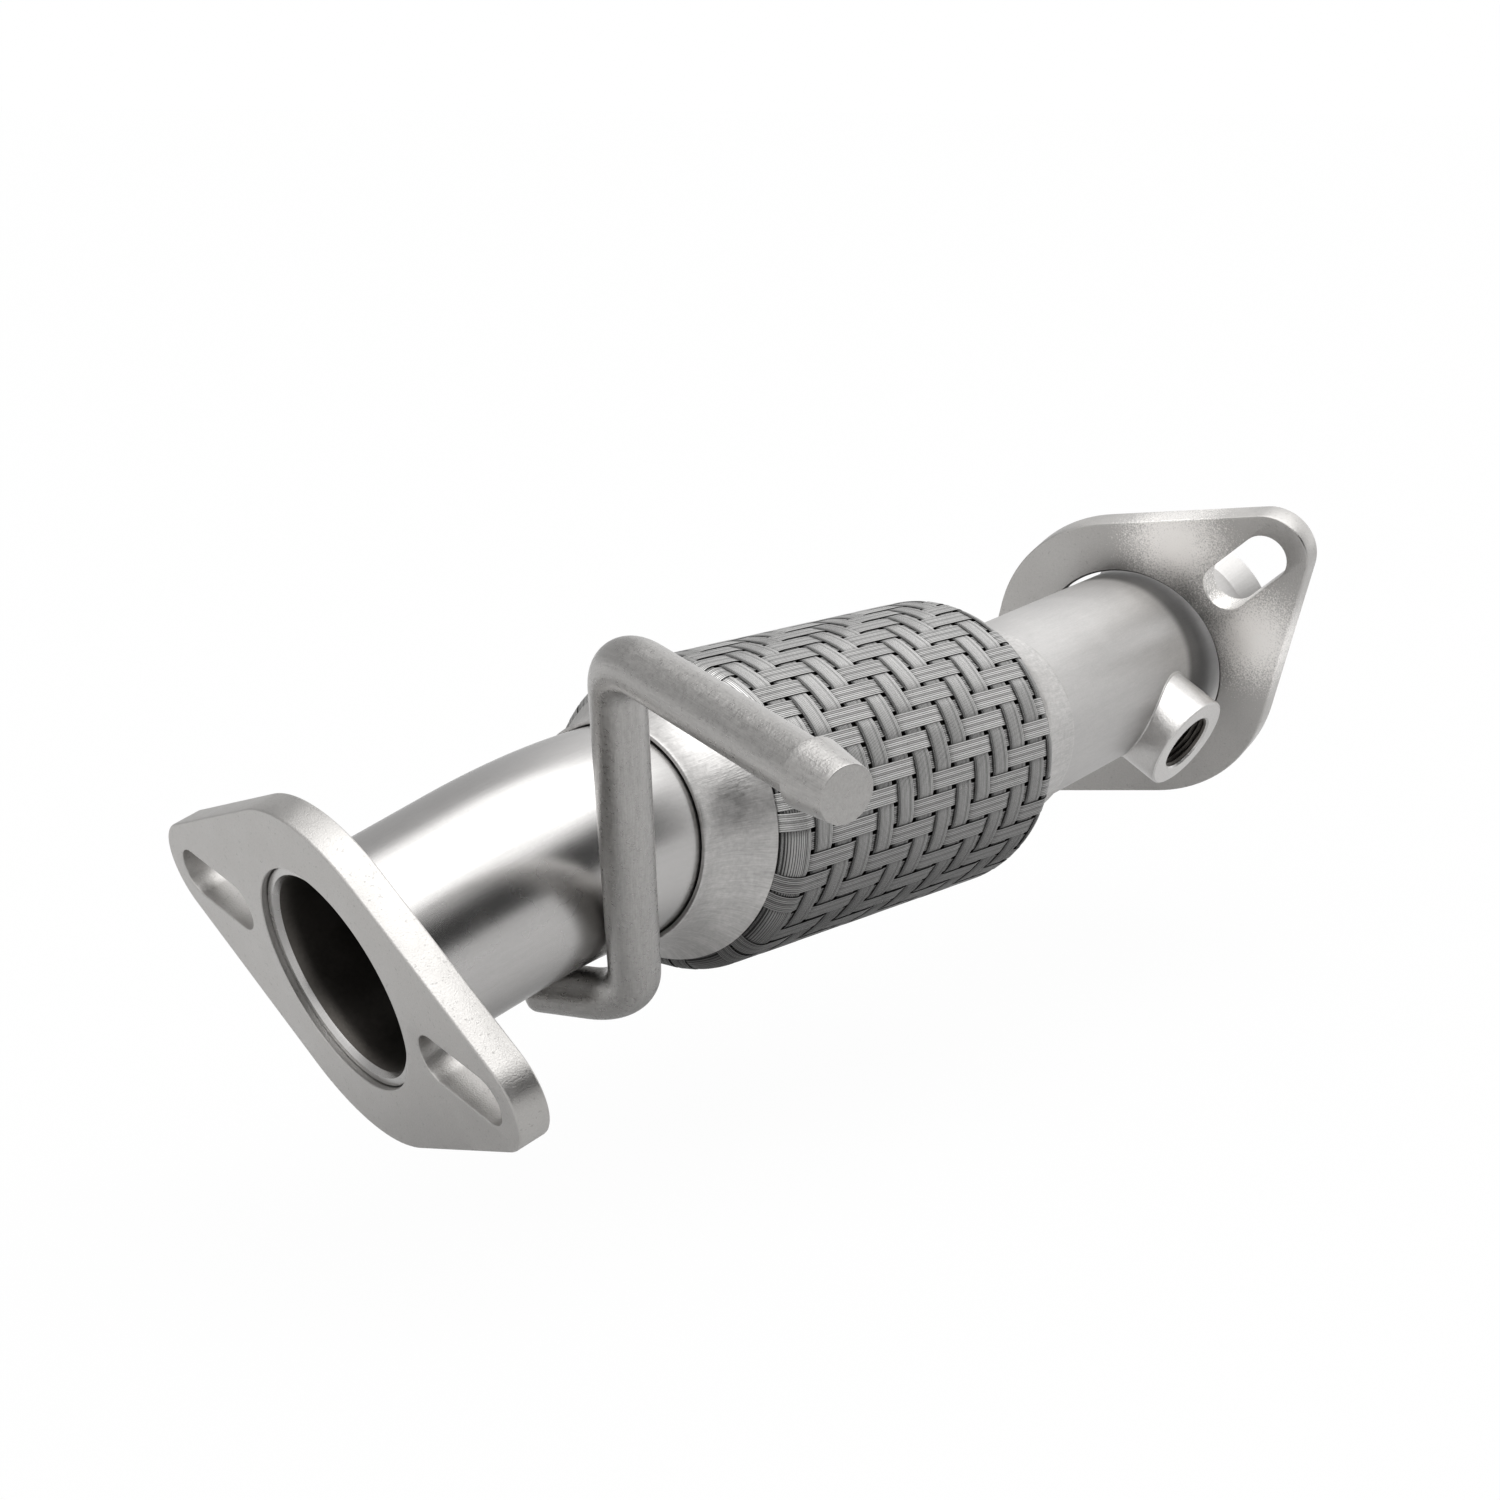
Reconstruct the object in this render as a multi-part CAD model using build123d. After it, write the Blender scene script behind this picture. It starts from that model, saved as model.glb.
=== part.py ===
from build123d import *

import os
from math import asin, cos, degrees, floor, radians, sin, sqrt, tan

# Exhaust front pipe: a bent inlet pipe with a slotted flange and a hanger rod, a braided
# flex coupling, and an outlet pipe with a sensor bung and a loose slotted flange.
# Lengths are in mm and angles in degrees. The origin is the centre of the inlet flange's
# front face, +X follows the flex coupling towards the outlet and +Z is up.

# Tube
TUBE_R = 25.4
TUBE_WALL = 1.5
SEAM = 0.05

# Inlet pipe, from the front face of its flange
INLET_AZIMUTH = -19.3
INLET_RISE = 20.8
INLET_STRAIGHT = 39.8
INLET_BEND_R = 89.0
TUBE_IN_NECK = 17.0
LIP_STEP = 1.9
LIP_DEPTH = 1.5
LIP_ROLL = 3.5

# Outlet pipe, which leaves the flex coupling at a slight angle
OUTLET_AZIMUTH = 7.86
OUTLET_RISE = 1.98
OUTLET_LENGTH = 152.0
FLARE_STEP = 5.9

# Inlet flange, welded to the pipe
INLET_PLATE = 8.0
INLET_LOBE_R = 42.2
INLET_EAR_R = 13.1
INLET_EAR_X = 57.3
INLET_SLOT_X = 49.1
INLET_SLOT_REACH = 18.0
INLET_SLOT_R = 6.15
INLET_TURN = 14.5
RECESS_GAP = 0.3
BORE_GAP = 0.15

# Outlet flange, loose on the pipe and leaning a little
OUTLET_PLATE = 8.0
OUTLET_LOBE_R = 43.4
OUTLET_EAR_R = 12.5
OUTLET_EAR_X = 58.7
OUTLET_SLOT_X = 49.7
OUTLET_SLOT_REACH = 15.6
OUTLET_SLOT_R = 7.0
OUTLET_TURN = 141.5
OUTLET_HOLE_GAP = 2.9
PLATE_STATION = 110.9
PLATE_SIDE = 0.4
PLATE_DROP = 1.4
PLATE_AZIMUTH = 5.6
PLATE_RISE = 15.4
PLATE_EDGE = 0.6

# Flex coupling: two caps, the braided sleeve, the bellows and the liner
NECK_ON_BEND = 2.8
RIM_TO_KINK = 16.8
KINK_TO_NECK = 5.8
KINK_EASE = 5.0
CAP_SHEET = 1.2
CAP_FIT = 0.3
CAP_NECK = 2.4
CAP_LENGTH = 19.2
CAP_RIM_R = 34.4
CAP_STEPS = 8
BRAID_R = 37.7
BRAID_LENGTH = 119.1
BRAID_SHOULDER_R = 7.0
BRAID_FIT = 0.4
RIBBON_THICK = 0.8
BACKING_THICK = 0.9
HOOPS = 14
HOOP_INSET = 0.1
HOOP_WIDTH = 6.0
ROWS = 44
ROW_WIDTH = 3.75
ROW_START = 2.97
SHOULDER_STEPS = 3
BELLOWS_FIT = 0.35
BELLOWS_WALL = 0.6
BELLOWS_ROOT_STEP = 3.1
BELLOWS_FOLDS = 11
BELLOWS_SIDES = 24
LINER_FIT = 0.3
LINER_WALL = 1.2
LINER_LENGTH = 118.0
LINER_SEAT = 10.0

# Sensor bung on the outlet pipe
BUNG_STATION = 85.5
BUNG_DOWN = 30.9
BUNG_TILT = 7.0
BUNG_R = 14.5
BUNG_STAND = 10.0
BUNG_BORE_R = 8.2
BUNG_RIM = 0.8

# Hanger rod under the inlet pipe
ROD_R = 6.0
ROD_BEND_R = 16.0
ROD_STATION = 55.6
STUB_AZIMUTH = 99.1
STUB_RISE = -0.4
STUB_TO_CORNER = 21.4
STUB_PAST_WELD = 5.7
LEG_AZIMUTH = -144.5
LEG_RISE = 49.5
LEG_LENGTH = 122.6
ARM_AZIMUTH = -108.0
ARM_RISE = -11.8
ARM_LENGTH = 77.1
HEAD_LENGTH = 11.0
HEAD_BASE_R = 7.3
HEAD_END_R = 6.0
WELD_GAP = 0.3
WELD_R = 8.5


def heading(azimuth, rise):
    """Unit vector at an azimuth from +X and a rise above the horizontal."""
    level = cos(radians(rise))
    return Vector(
        level * cos(radians(azimuth)), level * sin(radians(azimuth)), sin(radians(rise))
    )


def frame_along(origin, way):
    """Plane whose local X runs along the way and whose local Z stays upright."""
    side = Vector(0, 0, 1).cross(way).normalized()
    return Plane(origin, x_dir=way, z_dir=way.cross(side))


def face_plane(origin, way, turn):
    """Plane square to the way, with its local X turned about it from the level line."""
    frame = frame_along(origin, way)
    across = frame.y_dir * cos(radians(turn)) + frame.z_dir * sin(radians(turn))
    return Plane(origin, x_dir=across, z_dir=way)


def inlet_layout():
    """Start, corner and direction of the inlet pipe, and the neck of the flex coupling."""
    way = heading(INLET_AZIMUTH, INLET_RISE)
    bend = way.get_angle(Vector(1, 0, 0))
    tangent = INLET_BEND_R * tan(radians(bend / 2))
    corner = way * (INLET_STRAIGHT + tangent)
    neck = corner + Vector(tangent - NECK_ON_BEND, 0, 0)
    return way, corner, neck


SLEEVE_START = CAP_LENGTH + BRAID_FIT
FLEX_TO_KINK = SLEEVE_START + BRAID_LENGTH + BRAID_FIT + RIM_TO_KINK
INLET_WAY, INLET_CORNER, INLET_NECK = inlet_layout()
OUTLET_WAY = heading(OUTLET_AZIMUTH, OUTLET_RISE)
KINK = INLET_NECK + Vector(FLEX_TO_KINK, 0, 0)
OUTLET_NECK = KINK + OUTLET_WAY * KINK_TO_NECK
INLET_FRAME = frame_along(Vector(0, 0, 0), INLET_WAY)
FLEX_FRAME = frame_along(INLET_NECK, Vector(1, 0, 0))
OUTLET_FRAME = frame_along(KINK, OUTLET_WAY)
TUBE_BORE_R = TUBE_R - TUBE_WALL
LIP_R = TUBE_R + LIP_STEP
FLARE_R = TUBE_R + FLARE_STEP
BUNG_HEIGHT = TUBE_R + BUNG_STAND
CAP_BORE_R = TUBE_R + CAP_FIT
BRAID_END_R = CAP_RIM_R - CAP_SHEET - BRAID_FIT
HOOP_PITCH = (BRAID_LENGTH - 2 * HOOP_INSET - HOOP_WIDTH) / (HOOPS - 1)


def turned(points):
    """Solid of revolution about local X of a closed outline given as (x, radius)."""
    return revolve(make_face(Polyline(*points, close=True)), Axis.X)


def placed(shape, frame):
    """Shape moved from its local axes to a frame of the pipe."""
    return frame.location * shape


def flange_plate(lobe_r, ear_r, ear_x, slot_x, slot_reach, slot_r, thickness):
    """Two-eared flange without its bore: the hull of a lobe and two ears, with slots."""
    ears = [Pos(side * ear_x, 0) * Circle(ear_r) for side in (-1, 1)]
    outline = make_hull(
        Circle(lobe_r).edges() + ears[0].edges() + ears[1].edges()
    )
    plate = extrude(outline, thickness)
    plate = chamfer(plate.faces().filter_by(Axis.Z).edges(), PLATE_EDGE)
    for side in (-1, 1):
        slot = Pos(side * slot_x, 0) * SlotCenterToCenter(slot_reach, 2 * slot_r)
        plate -= extrude(slot, thickness)
    return plate


def inlet_flange():
    """Flange with a bore for the pipe and a recess for the pipe's rolled lip."""
    plate = flange_plate(
        INLET_LOBE_R,
        INLET_EAR_R,
        INLET_EAR_X,
        INLET_SLOT_X,
        INLET_SLOT_REACH,
        INLET_SLOT_R,
        INLET_PLATE,
    )
    plate -= extrude(Circle(TUBE_R + BORE_GAP), INLET_PLATE)
    plate -= extrude(Circle(LIP_R + RECESS_GAP), LIP_DEPTH + TUBE_WALL)
    return placed(plate, face_plane(Vector(0, 0, 0), INLET_WAY, INLET_TURN))


def plate_centre():
    """Centre of the loose flange's near face, which hangs a little below the pipe's axis."""
    station = OUTLET_FRAME.origin + OUTLET_WAY * PLATE_STATION
    return station - OUTLET_FRAME.y_dir * PLATE_SIDE - OUTLET_FRAME.z_dir * PLATE_DROP


def outlet_flange():
    """Loose flange, kept on the outlet pipe by its flared end."""
    plate = flange_plate(
        OUTLET_LOBE_R,
        OUTLET_EAR_R,
        OUTLET_EAR_X,
        OUTLET_SLOT_X,
        OUTLET_SLOT_REACH,
        OUTLET_SLOT_R,
        OUTLET_PLATE,
    )
    plate -= extrude(Circle(TUBE_R + OUTLET_HOLE_GAP), OUTLET_PLATE)
    way = heading(PLATE_AZIMUTH, PLATE_RISE)
    return placed(plate, face_plane(plate_centre(), way, OUTLET_TURN))


def inlet_path(start_depth):
    """Centreline of the inlet pipe, from a depth behind the flange's front face."""
    end = INLET_NECK + Vector(TUBE_IN_NECK, 0, 0)
    return FilletPolyline(
        INLET_WAY * start_depth, INLET_CORNER, end, radius=INLET_BEND_R
    )


def tube_along(path, start, way):
    """Tube of the standard section swept along a path."""
    section = Circle(TUBE_R) - Circle(TUBE_BORE_R)
    return sweep(Plane(start, z_dir=way) * section, path=path)


def inlet_pipe():
    """Bent pipe with a lip rolled outwards into the flange's recess."""
    start = LIP_DEPTH + TUBE_WALL + LIP_ROLL
    pipe = tube_along(inlet_path(start), INLET_WAY * start, INLET_WAY)
    mouth_r = TUBE_R - SEAM
    roll = TangentArc((start, TUBE_BORE_R), (LIP_DEPTH, mouth_r), tangent=(-1, 0))
    rest = Polyline(
        (LIP_DEPTH, mouth_r),
        (LIP_DEPTH, LIP_R),
        (LIP_DEPTH + TUBE_WALL, LIP_R),
        (LIP_DEPTH + TUBE_WALL, TUBE_R),
        (start, TUBE_R),
        (start, TUBE_BORE_R),
    )
    lip = revolve(make_face(Curve() + [roll, rest]), Axis.X)
    return pipe + placed(lip, INLET_FRAME)


def horn_arc_r(length):
    """Radius of the arc that rises from a cap's straight neck to its rim."""
    run = length - CAP_NECK
    rise = CAP_RIM_R - CAP_BORE_R - CAP_SHEET
    return (run**2 + rise**2) / (2 * rise)


def horn_radius(x, length, sheet):
    """Radius of a cap at a distance from its neck's end, outside its bore by a sheet."""
    arc_r = horn_arc_r(length) + CAP_SHEET - sheet
    beyond = max(x - CAP_NECK, 0)
    return CAP_BORE_R + sheet + arc_r - sqrt(arc_r**2 - beyond**2)


def inlet_cap():
    """Spun cap, flared like a horn from its neck on the pipe to the braid."""
    bore, neck = CAP_BORE_R, CAP_BORE_R + CAP_SHEET
    rim_bore = horn_radius(CAP_LENGTH, CAP_LENGTH, 0)
    edges = [
        Line((0, bore), (0, neck)),
        Line((0, neck), (CAP_NECK, neck)),
        TangentArc((CAP_NECK, neck), (CAP_LENGTH, CAP_RIM_R), tangent=(1, 0)),
        Line((CAP_LENGTH, CAP_RIM_R), (CAP_LENGTH, rim_bore)),
        TangentArc((CAP_NECK, bore), (CAP_LENGTH, rim_bore), tangent=(1, 0)),
        Line((CAP_NECK, bore), (0, bore)),
    ]
    return placed(revolve(make_face(Curve() + edges), Axis.X), FLEX_FRAME)


def outlet_cap():
    """The other cap, whose neck is bent to follow the outlet pipe."""
    rim = KINK - Vector(RIM_TO_KINK, 0, 0)
    half_turn = radians(OUTLET_WAY.get_angle(Vector(1, 0, 0)) / 2)
    axis = FilletPolyline(OUTLET_NECK, KINK, rim, radius=KINK_EASE / tan(half_turn)).wire()
    return horn_along(axis, CAP_SHEET) - horn_along(axis, 0)


def horn_along(axis, sheet):
    """Solid horn lofted through circles along the bent axis of the outlet cap."""
    stations = [0, CAP_NECK]
    run = axis.length - CAP_NECK
    stations += [CAP_NECK + run * step / CAP_STEPS for step in range(1, CAP_STEPS + 1)]
    sections = []
    for x in stations:
        share = x / axis.length
        plane = Plane(axis @ share, z_dir=axis % share)
        sections.append(plane * Circle(horn_radius(x, axis.length, sheet)))
    return loft(sections)


def outlet_pipe():
    """Straight pipe with a flared end and the hole under the sensor bung."""
    start = KINK_TO_NECK - TUBE_IN_NECK
    flare_start = OUTLET_LENGTH - FLARE_STEP
    turn = TUBE_WALL * tan(radians(22.5))
    edge = TUBE_WALL * sin(radians(45))
    pipe = turned(
        [
            (start, TUBE_BORE_R),
            (flare_start + turn, TUBE_BORE_R),
            (OUTLET_LENGTH + edge, FLARE_R - edge),
            (OUTLET_LENGTH, FLARE_R),
            (flare_start, TUBE_R),
            (start, TUBE_R),
        ]
    )
    pipe = placed(pipe, OUTLET_FRAME)
    return pipe - placed(Cylinder(BUNG_BORE_R, 2 * BUNG_HEIGHT), bung_plane(TUBE_R))


def bung_plane(height):
    """Plane square to the bung's axis, at a height above the axis of the pipe."""
    side = OUTLET_FRAME.y_dir * -cos(radians(BUNG_DOWN))
    out = side - OUTLET_FRAME.z_dir * sin(radians(BUNG_DOWN))
    way = out * cos(radians(BUNG_TILT)) - OUTLET_WAY * sin(radians(BUNG_TILT))
    foot = OUTLET_FRAME.origin + OUTLET_WAY * BUNG_STATION
    return Plane(foot + way * height, x_dir=OUTLET_WAY.cross(way), z_dir=way)


def sensor_bung():
    """Threaded boss for the sensor, with its foot cut to the pipe."""
    boss = extrude(Circle(BUNG_R), BUNG_HEIGHT)
    boss = chamfer(boss.edges().sort_by(Axis.Z)[-1], BUNG_RIM)
    boss -= extrude(Circle(BUNG_BORE_R), BUNG_HEIGHT)
    rim = boss.edges().filter_by(GeomType.CIRCLE).sort_by(Axis.Z)[-2:].sort_by(SortBy.RADIUS)
    boss = chamfer(rim[0], BUNG_RIM)
    boss = placed(boss, bung_plane(0))
    core = extrude(Circle(TUBE_R + SEAM), 2 * BUNG_STATION)
    boss -= Plane(KINK, z_dir=OUTLET_WAY) * core
    return boss.solids().sort_by(SortBy.VOLUME)[-1]


def rod_points():
    """Corners of the hanger rod, set by the point under the pipe where it is welded."""
    path = inlet_path(0).wire()
    share = ROD_STATION / path.length
    on_axis, tangent = path @ share, path % share
    stub = heading(STUB_AZIMUTH, STUB_RISE)
    down = tangent.cross(stub).normalized()
    down = down * (-1 if down.Z > 0 else 1)
    seat = on_axis + down * (TUBE_R + WELD_GAP + ROD_R)
    corner = seat - stub * STUB_TO_CORNER
    top = corner + heading(LEG_AZIMUTH, LEG_RISE) * LEG_LENGTH
    end = top + heading(ARM_AZIMUTH, ARM_RISE) * ARM_LENGTH
    contact = on_axis + down * TUBE_R
    return seat + stub * STUB_PAST_WELD, corner, top, end, contact


def hanger_rod():
    """Round rod bent twice, with a tapered head on the arm that carries the rubber."""
    start, corner, top, end, _ = rod_points()
    stub = (corner - start).normalized()
    arm = (end - top).normalized()
    path = FilletPolyline(start, corner, top, end - arm * HEAD_LENGTH, radius=ROD_BEND_R)
    rod = sweep(Plane(start, z_dir=stub) * Circle(ROD_R), path=path)
    head = Plane(end - arm * HEAD_LENGTH, z_dir=arm) * Cone(
        HEAD_BASE_R, HEAD_END_R, HEAD_LENGTH, align=(Align.CENTER, Align.CENTER, Align.MIN)
    )
    return rod + head


def hanger_weld(rod, pipe):
    """Weld between the rod's stub and the underside of the pipe."""
    bead = Pos(*rod_points()[-1]) * Sphere(WELD_R)
    bead = bead - rod - pipe
    return bead.solids().sort_by(SortBy.VOLUME)[-1]


def panel(first, second, third, fourth):
    """Flat face through four corners, or two triangles where they aren't flat."""
    square_on = (second - first).cross(third - first)
    if abs(square_on.normalized().dot(fourth - first)) < 1e-6:
        return [Face(Wire.make_polygon((first, second, third, fourth)))]
    return [
        Face(Wire.make_polygon((first, second, third))),
        Face(Wire.make_polygon((first, third, fourth))),
    ]


def ring(frame, x, radius, angles):
    """Points round a frame's local X, at one distance along it and one radius."""
    return [
        frame.from_local_coords(
            Vector(x, radius * cos(radians(angle)), radius * sin(radians(angle)))
        )
        for angle in angles
    ]


def skin(rings):
    """Faces between each ring of points and the next."""
    faces = []
    for near, far in zip(rings, rings[1:]):
        for side in range(len(near)):
            corner = side - 1
            faces += panel(near[corner], far[corner], far[side], near[side])
    return faces


def closed_wall(outer_faces, outer_ends, inner_rings):
    """Solid between an outer skin and an inner one, closed at both ends, with flat
    neighbours merged."""
    faces = outer_faces + skin(inner_rings)
    for outside, inside in zip(outer_ends, (inner_rings[0], inner_rings[-1])):
        faces.append(Face(Wire.make_polygon(outside), [Wire.make_polygon(inside)]))
    return Solid(Shell(faces)).clean()


def even_angles(sides):
    """Evenly spaced angles round the axis."""
    return [360 * side / sides for side in range(sides)]


def shoulder_reach():
    """Length of the rounded shoulder at each end of the sleeve."""
    rise = BRAID_END_R - (BRAID_R - BRAID_SHOULDER_R)
    return sqrt(BRAID_SHOULDER_R**2 - rise**2)


def braid_radius(x):
    """Outer radius of the sleeve, with x measured from its inlet end."""
    reach = shoulder_reach()
    inset = min(max(x, 0), max(BRAID_LENGTH - x, 0), reach)
    return BRAID_R - BRAID_SHOULDER_R + sqrt(BRAID_SHOULDER_R**2 - (reach - inset) ** 2)


def shoulder_stations():
    """Stations of the sleeve's ends and of the facets on its two shoulders."""
    reach = shoulder_reach()
    swing = asin(reach / BRAID_SHOULDER_R)
    insets = [
        reach - BRAID_SHOULDER_R * sin(swing * step / SHOULDER_STEPS)
        for step in range(SHOULDER_STEPS)
    ]
    insets.append(0)
    return sorted({*insets, *(BRAID_LENGTH - inset for inset in insets)})


def hoop_middles():
    """Stations of the middles of the hoops, evenly spaced along the sleeve."""
    return [
        BRAID_LENGTH / 2 + (hoop - (HOOPS - 1) / 2) * HOOP_PITCH for hoop in range(HOOPS)
    ]


def braid_stations():
    """Stations of the shoulders' facets and of both edges of each hoop."""
    edges = [
        middle + side * HOOP_WIDTH / 2 for middle in hoop_middles() for side in (-1, 1)
    ]
    return sorted({*shoulder_stations(), *edges})


def row_angles():
    """Angles of both edges of each row that runs along the sleeve."""
    half = degrees(ROW_WIDTH / 2 / BRAID_R)
    return [
        ROW_START + angle + side * half for angle in even_angles(ROWS) for side in (-1, 1)
    ]


def row_on_top(hoop, row):
    """Two-over, two-under twill: whether the row lies over the hoop where they cross."""
    return (hoop + row) % 4 < 2


def stands_out(x, sector):
    """Whether a ribbon lies on top at a station, on a row or between two rows."""
    place = (x - hoop_middles()[0]) / HOOP_PITCH
    hoop = round(place)
    before = floor(place)
    row, between_rows = divmod(sector, 2)
    on_hoop = abs(place - hoop) * HOOP_PITCH < HOOP_WIDTH / 2
    if not 0 <= hoop < HOOPS or not (on_hoop or 0 <= before < HOOPS - 1):
        return True
    if on_hoop and between_rows:
        return not (row_on_top(hoop, row) or row_on_top(hoop, row + 1))
    if on_hoop:
        return True
    if between_rows:
        return False
    return row_on_top(before, row) and row_on_top(before + 1, row)


def braid_rings(inset):
    """Rings of the sleeve at a depth below its ribbons, from one rim to the other."""
    angles = row_angles()
    return [
        ring(FLEX_FRAME, SLEEVE_START + x, braid_radius(x) - inset, angles)
        for x in braid_stations()
    ]


def braid_relief():
    """Outer skin of the sleeve: ribbons stand out where they lie on top."""
    high, low = braid_rings(0), braid_rings(RIBBON_THICK)
    stations = braid_stations()
    middles = [(near + far) / 2 for near, far in zip(stations, stations[1:])]
    sectors = 2 * ROWS
    raised = [[stands_out(x, sector) for sector in range(sectors)] for x in middles]
    faces = []
    for band, here in enumerate(raised):
        for sector in range(sectors):
            beside = (sector + 1) % sectors
            level = high if here[sector] else low
            near, far = level[band], level[band + 1]
            faces += panel(near[sector], far[sector], far[beside], near[beside])
            if here[sector] != here[beside]:
                faces += panel(
                    low[band][beside],
                    low[band + 1][beside],
                    high[band + 1][beside],
                    high[band][beside],
                )
            if band and here[sector] != raised[band - 1][sector]:
                faces += panel(
                    low[band][sector],
                    low[band][beside],
                    high[band][beside],
                    high[band][sector],
                )
    return faces, (high[0], high[-1])


def braid_sleeve():
    """Woven sleeve as one wall, drawn in at both ends to the rims of the caps."""
    depth = RIBBON_THICK + BACKING_THICK
    inner = [
        ring(FLEX_FRAME, SLEEVE_START + x, braid_radius(x) - depth, even_angles(ROWS))
        for x in shoulder_stations()
    ]
    relief, ends = braid_relief()
    return closed_wall(relief, ends, inner)


def cuff_station(length):
    """Distance from a cap's neck end at which the bellows' cuff just fits inside it."""
    arc_r = horn_arc_r(length) + CAP_SHEET
    rise = TUBE_R + BELLOWS_ROOT_STEP + BELLOWS_FIT - CAP_BORE_R
    return CAP_NECK + sqrt(arc_r**2 - (arc_r - rise) ** 2)


def bellows_rings(inset):
    """Rings of the folded bellows at a depth below its outside, cuff to cuff."""
    angles = even_angles(BELLOWS_SIDES)
    inside = (BRAID_R - RIBBON_THICK - BACKING_THICK) * cos(radians(180 / ROWS))
    crest_r = inside - BELLOWS_FIT - inset
    root_r = TUBE_R + BELLOWS_ROOT_STEP - inset
    start = SLEEVE_START + shoulder_reach() + BELLOWS_FIT
    pitch = (BRAID_LENGTH - 2 * (shoulder_reach() + BELLOWS_FIT)) / BELLOWS_FOLDS
    rings = [ring(FLEX_FRAME, cuff_station(CAP_LENGTH), root_r, angles)]
    for half_fold in range(2 * BELLOWS_FOLDS + 1):
        radius = crest_r if half_fold % 2 else root_r
        rings.append(ring(FLEX_FRAME, start + half_fold * pitch / 2, radius, angles))
    end = FLEX_TO_KINK + KINK_TO_NECK - cuff_station(RIM_TO_KINK + KINK_TO_NECK)
    return rings + [ring(FLEX_FRAME, end, root_r, angles)]


def bellows():
    """Gas-tight bellows inside the sleeve, with a cuff inside each cap."""
    outer, inner = bellows_rings(0), bellows_rings(BELLOWS_WALL)
    return closed_wall(skin(outer), (outer[0], outer[-1]), inner)


def inner_liner():
    """Liner tube inside the bellows, held in the inlet pipe's end."""
    start = TUBE_IN_NECK - LINER_SEAT
    outside = TUBE_BORE_R - LINER_FIT
    liner = turned(
        [
            (start, outside - LINER_WALL),
            (start, outside),
            (start + LINER_LENGTH, outside),
            (start + LINER_LENGTH, outside - LINER_WALL),
        ]
    )
    return placed(liner, FLEX_FRAME)


def main():
    """Builds every piece and writes one STEP file for each node."""
    pipe = inlet_pipe()
    rod = hanger_rod()
    parts = {
        "inlet_flange": inlet_flange(),
        "inlet_pipe": pipe,
        "inlet_cap": inlet_cap(),
        "braid_sleeve": braid_sleeve(),
        "bellows": bellows(),
        "inner_liner": inner_liner(),
        "outlet_cap": outlet_cap(),
        "outlet_pipe": outlet_pipe(),
        "sensor_bung": sensor_bung(),
        "hanger_rod": rod,
        "hanger_weld": hanger_weld(rod, pipe),
        "outlet_flange": outlet_flange(),
    }
    os.makedirs("parts", exist_ok=True)
    for name, shape in parts.items():
        export_step(shape, f"parts/{name}.step")


if __name__ == "__main__":
    main()
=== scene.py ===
"""Looks of an exhaust front pipe: bent tube, braided flex coupling, slotted flanges,
sensor bung and hanger rod, in a plain pale studio. Lengths are in metres."""

import bpy
import numpy as np
from mathutils import Matrix, Vector
from mathutils.geometry import tessellate_polygon


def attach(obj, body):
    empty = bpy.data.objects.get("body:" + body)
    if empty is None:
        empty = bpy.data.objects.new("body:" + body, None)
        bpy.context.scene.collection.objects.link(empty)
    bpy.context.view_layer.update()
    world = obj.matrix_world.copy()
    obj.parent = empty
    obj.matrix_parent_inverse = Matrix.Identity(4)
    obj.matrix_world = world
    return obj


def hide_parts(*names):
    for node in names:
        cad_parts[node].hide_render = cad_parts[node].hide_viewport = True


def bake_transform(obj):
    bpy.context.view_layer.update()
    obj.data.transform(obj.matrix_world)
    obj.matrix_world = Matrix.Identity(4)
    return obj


bl_info = {
    "name": "Exhaust Front Pipe",
    "version": (1, 0, 0),
    "blender": (4, 5, 0),
    "location": "View3D > Sidebar > Front Pipe",
    "description": "Builds the finishes and fine forms of an exhaust front pipe",
    "category": "Add Mesh",
}

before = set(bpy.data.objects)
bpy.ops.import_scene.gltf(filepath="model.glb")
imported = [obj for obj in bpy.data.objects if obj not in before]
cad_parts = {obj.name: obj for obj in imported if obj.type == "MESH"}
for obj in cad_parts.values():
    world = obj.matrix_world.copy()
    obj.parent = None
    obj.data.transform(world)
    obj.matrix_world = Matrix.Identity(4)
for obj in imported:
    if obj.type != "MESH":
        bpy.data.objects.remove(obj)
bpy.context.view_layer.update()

INLET_SIDE = "inlet_side"
OUTLET_SIDE = "outlet_side"
LOOSE_FLANGE = "loose_flange"


def angle(degrees, name, description):
    """An angle as a property, given in degrees."""
    return bpy.props.FloatProperty(
        name=name,
        description=description,
        default=float(np.radians(degrees)),
        unit="ROTATION",
    )


def length(millimetres, name, description):
    """A length as a property, given in millimetres."""
    return bpy.props.FloatProperty(
        name=name,
        description=description,
        default=millimetres / 1000,
        unit="LENGTH",
        precision=5,
    )


def number(value, name, description):
    """A plain number as a property."""
    return bpy.props.FloatProperty(name=name, description=description, default=value)


def count(value, name, description):
    """A whole number as a property."""
    return bpy.props.IntProperty(name=name, description=description, default=value)


def colour(red, green, blue, name, description):
    """A linear colour as a property."""
    return bpy.props.FloatVectorProperty(
        name=name,
        description=description,
        default=(red, green, blue),
        subtype="COLOR",
        min=0.0,
        max=1.0,
    )


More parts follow.
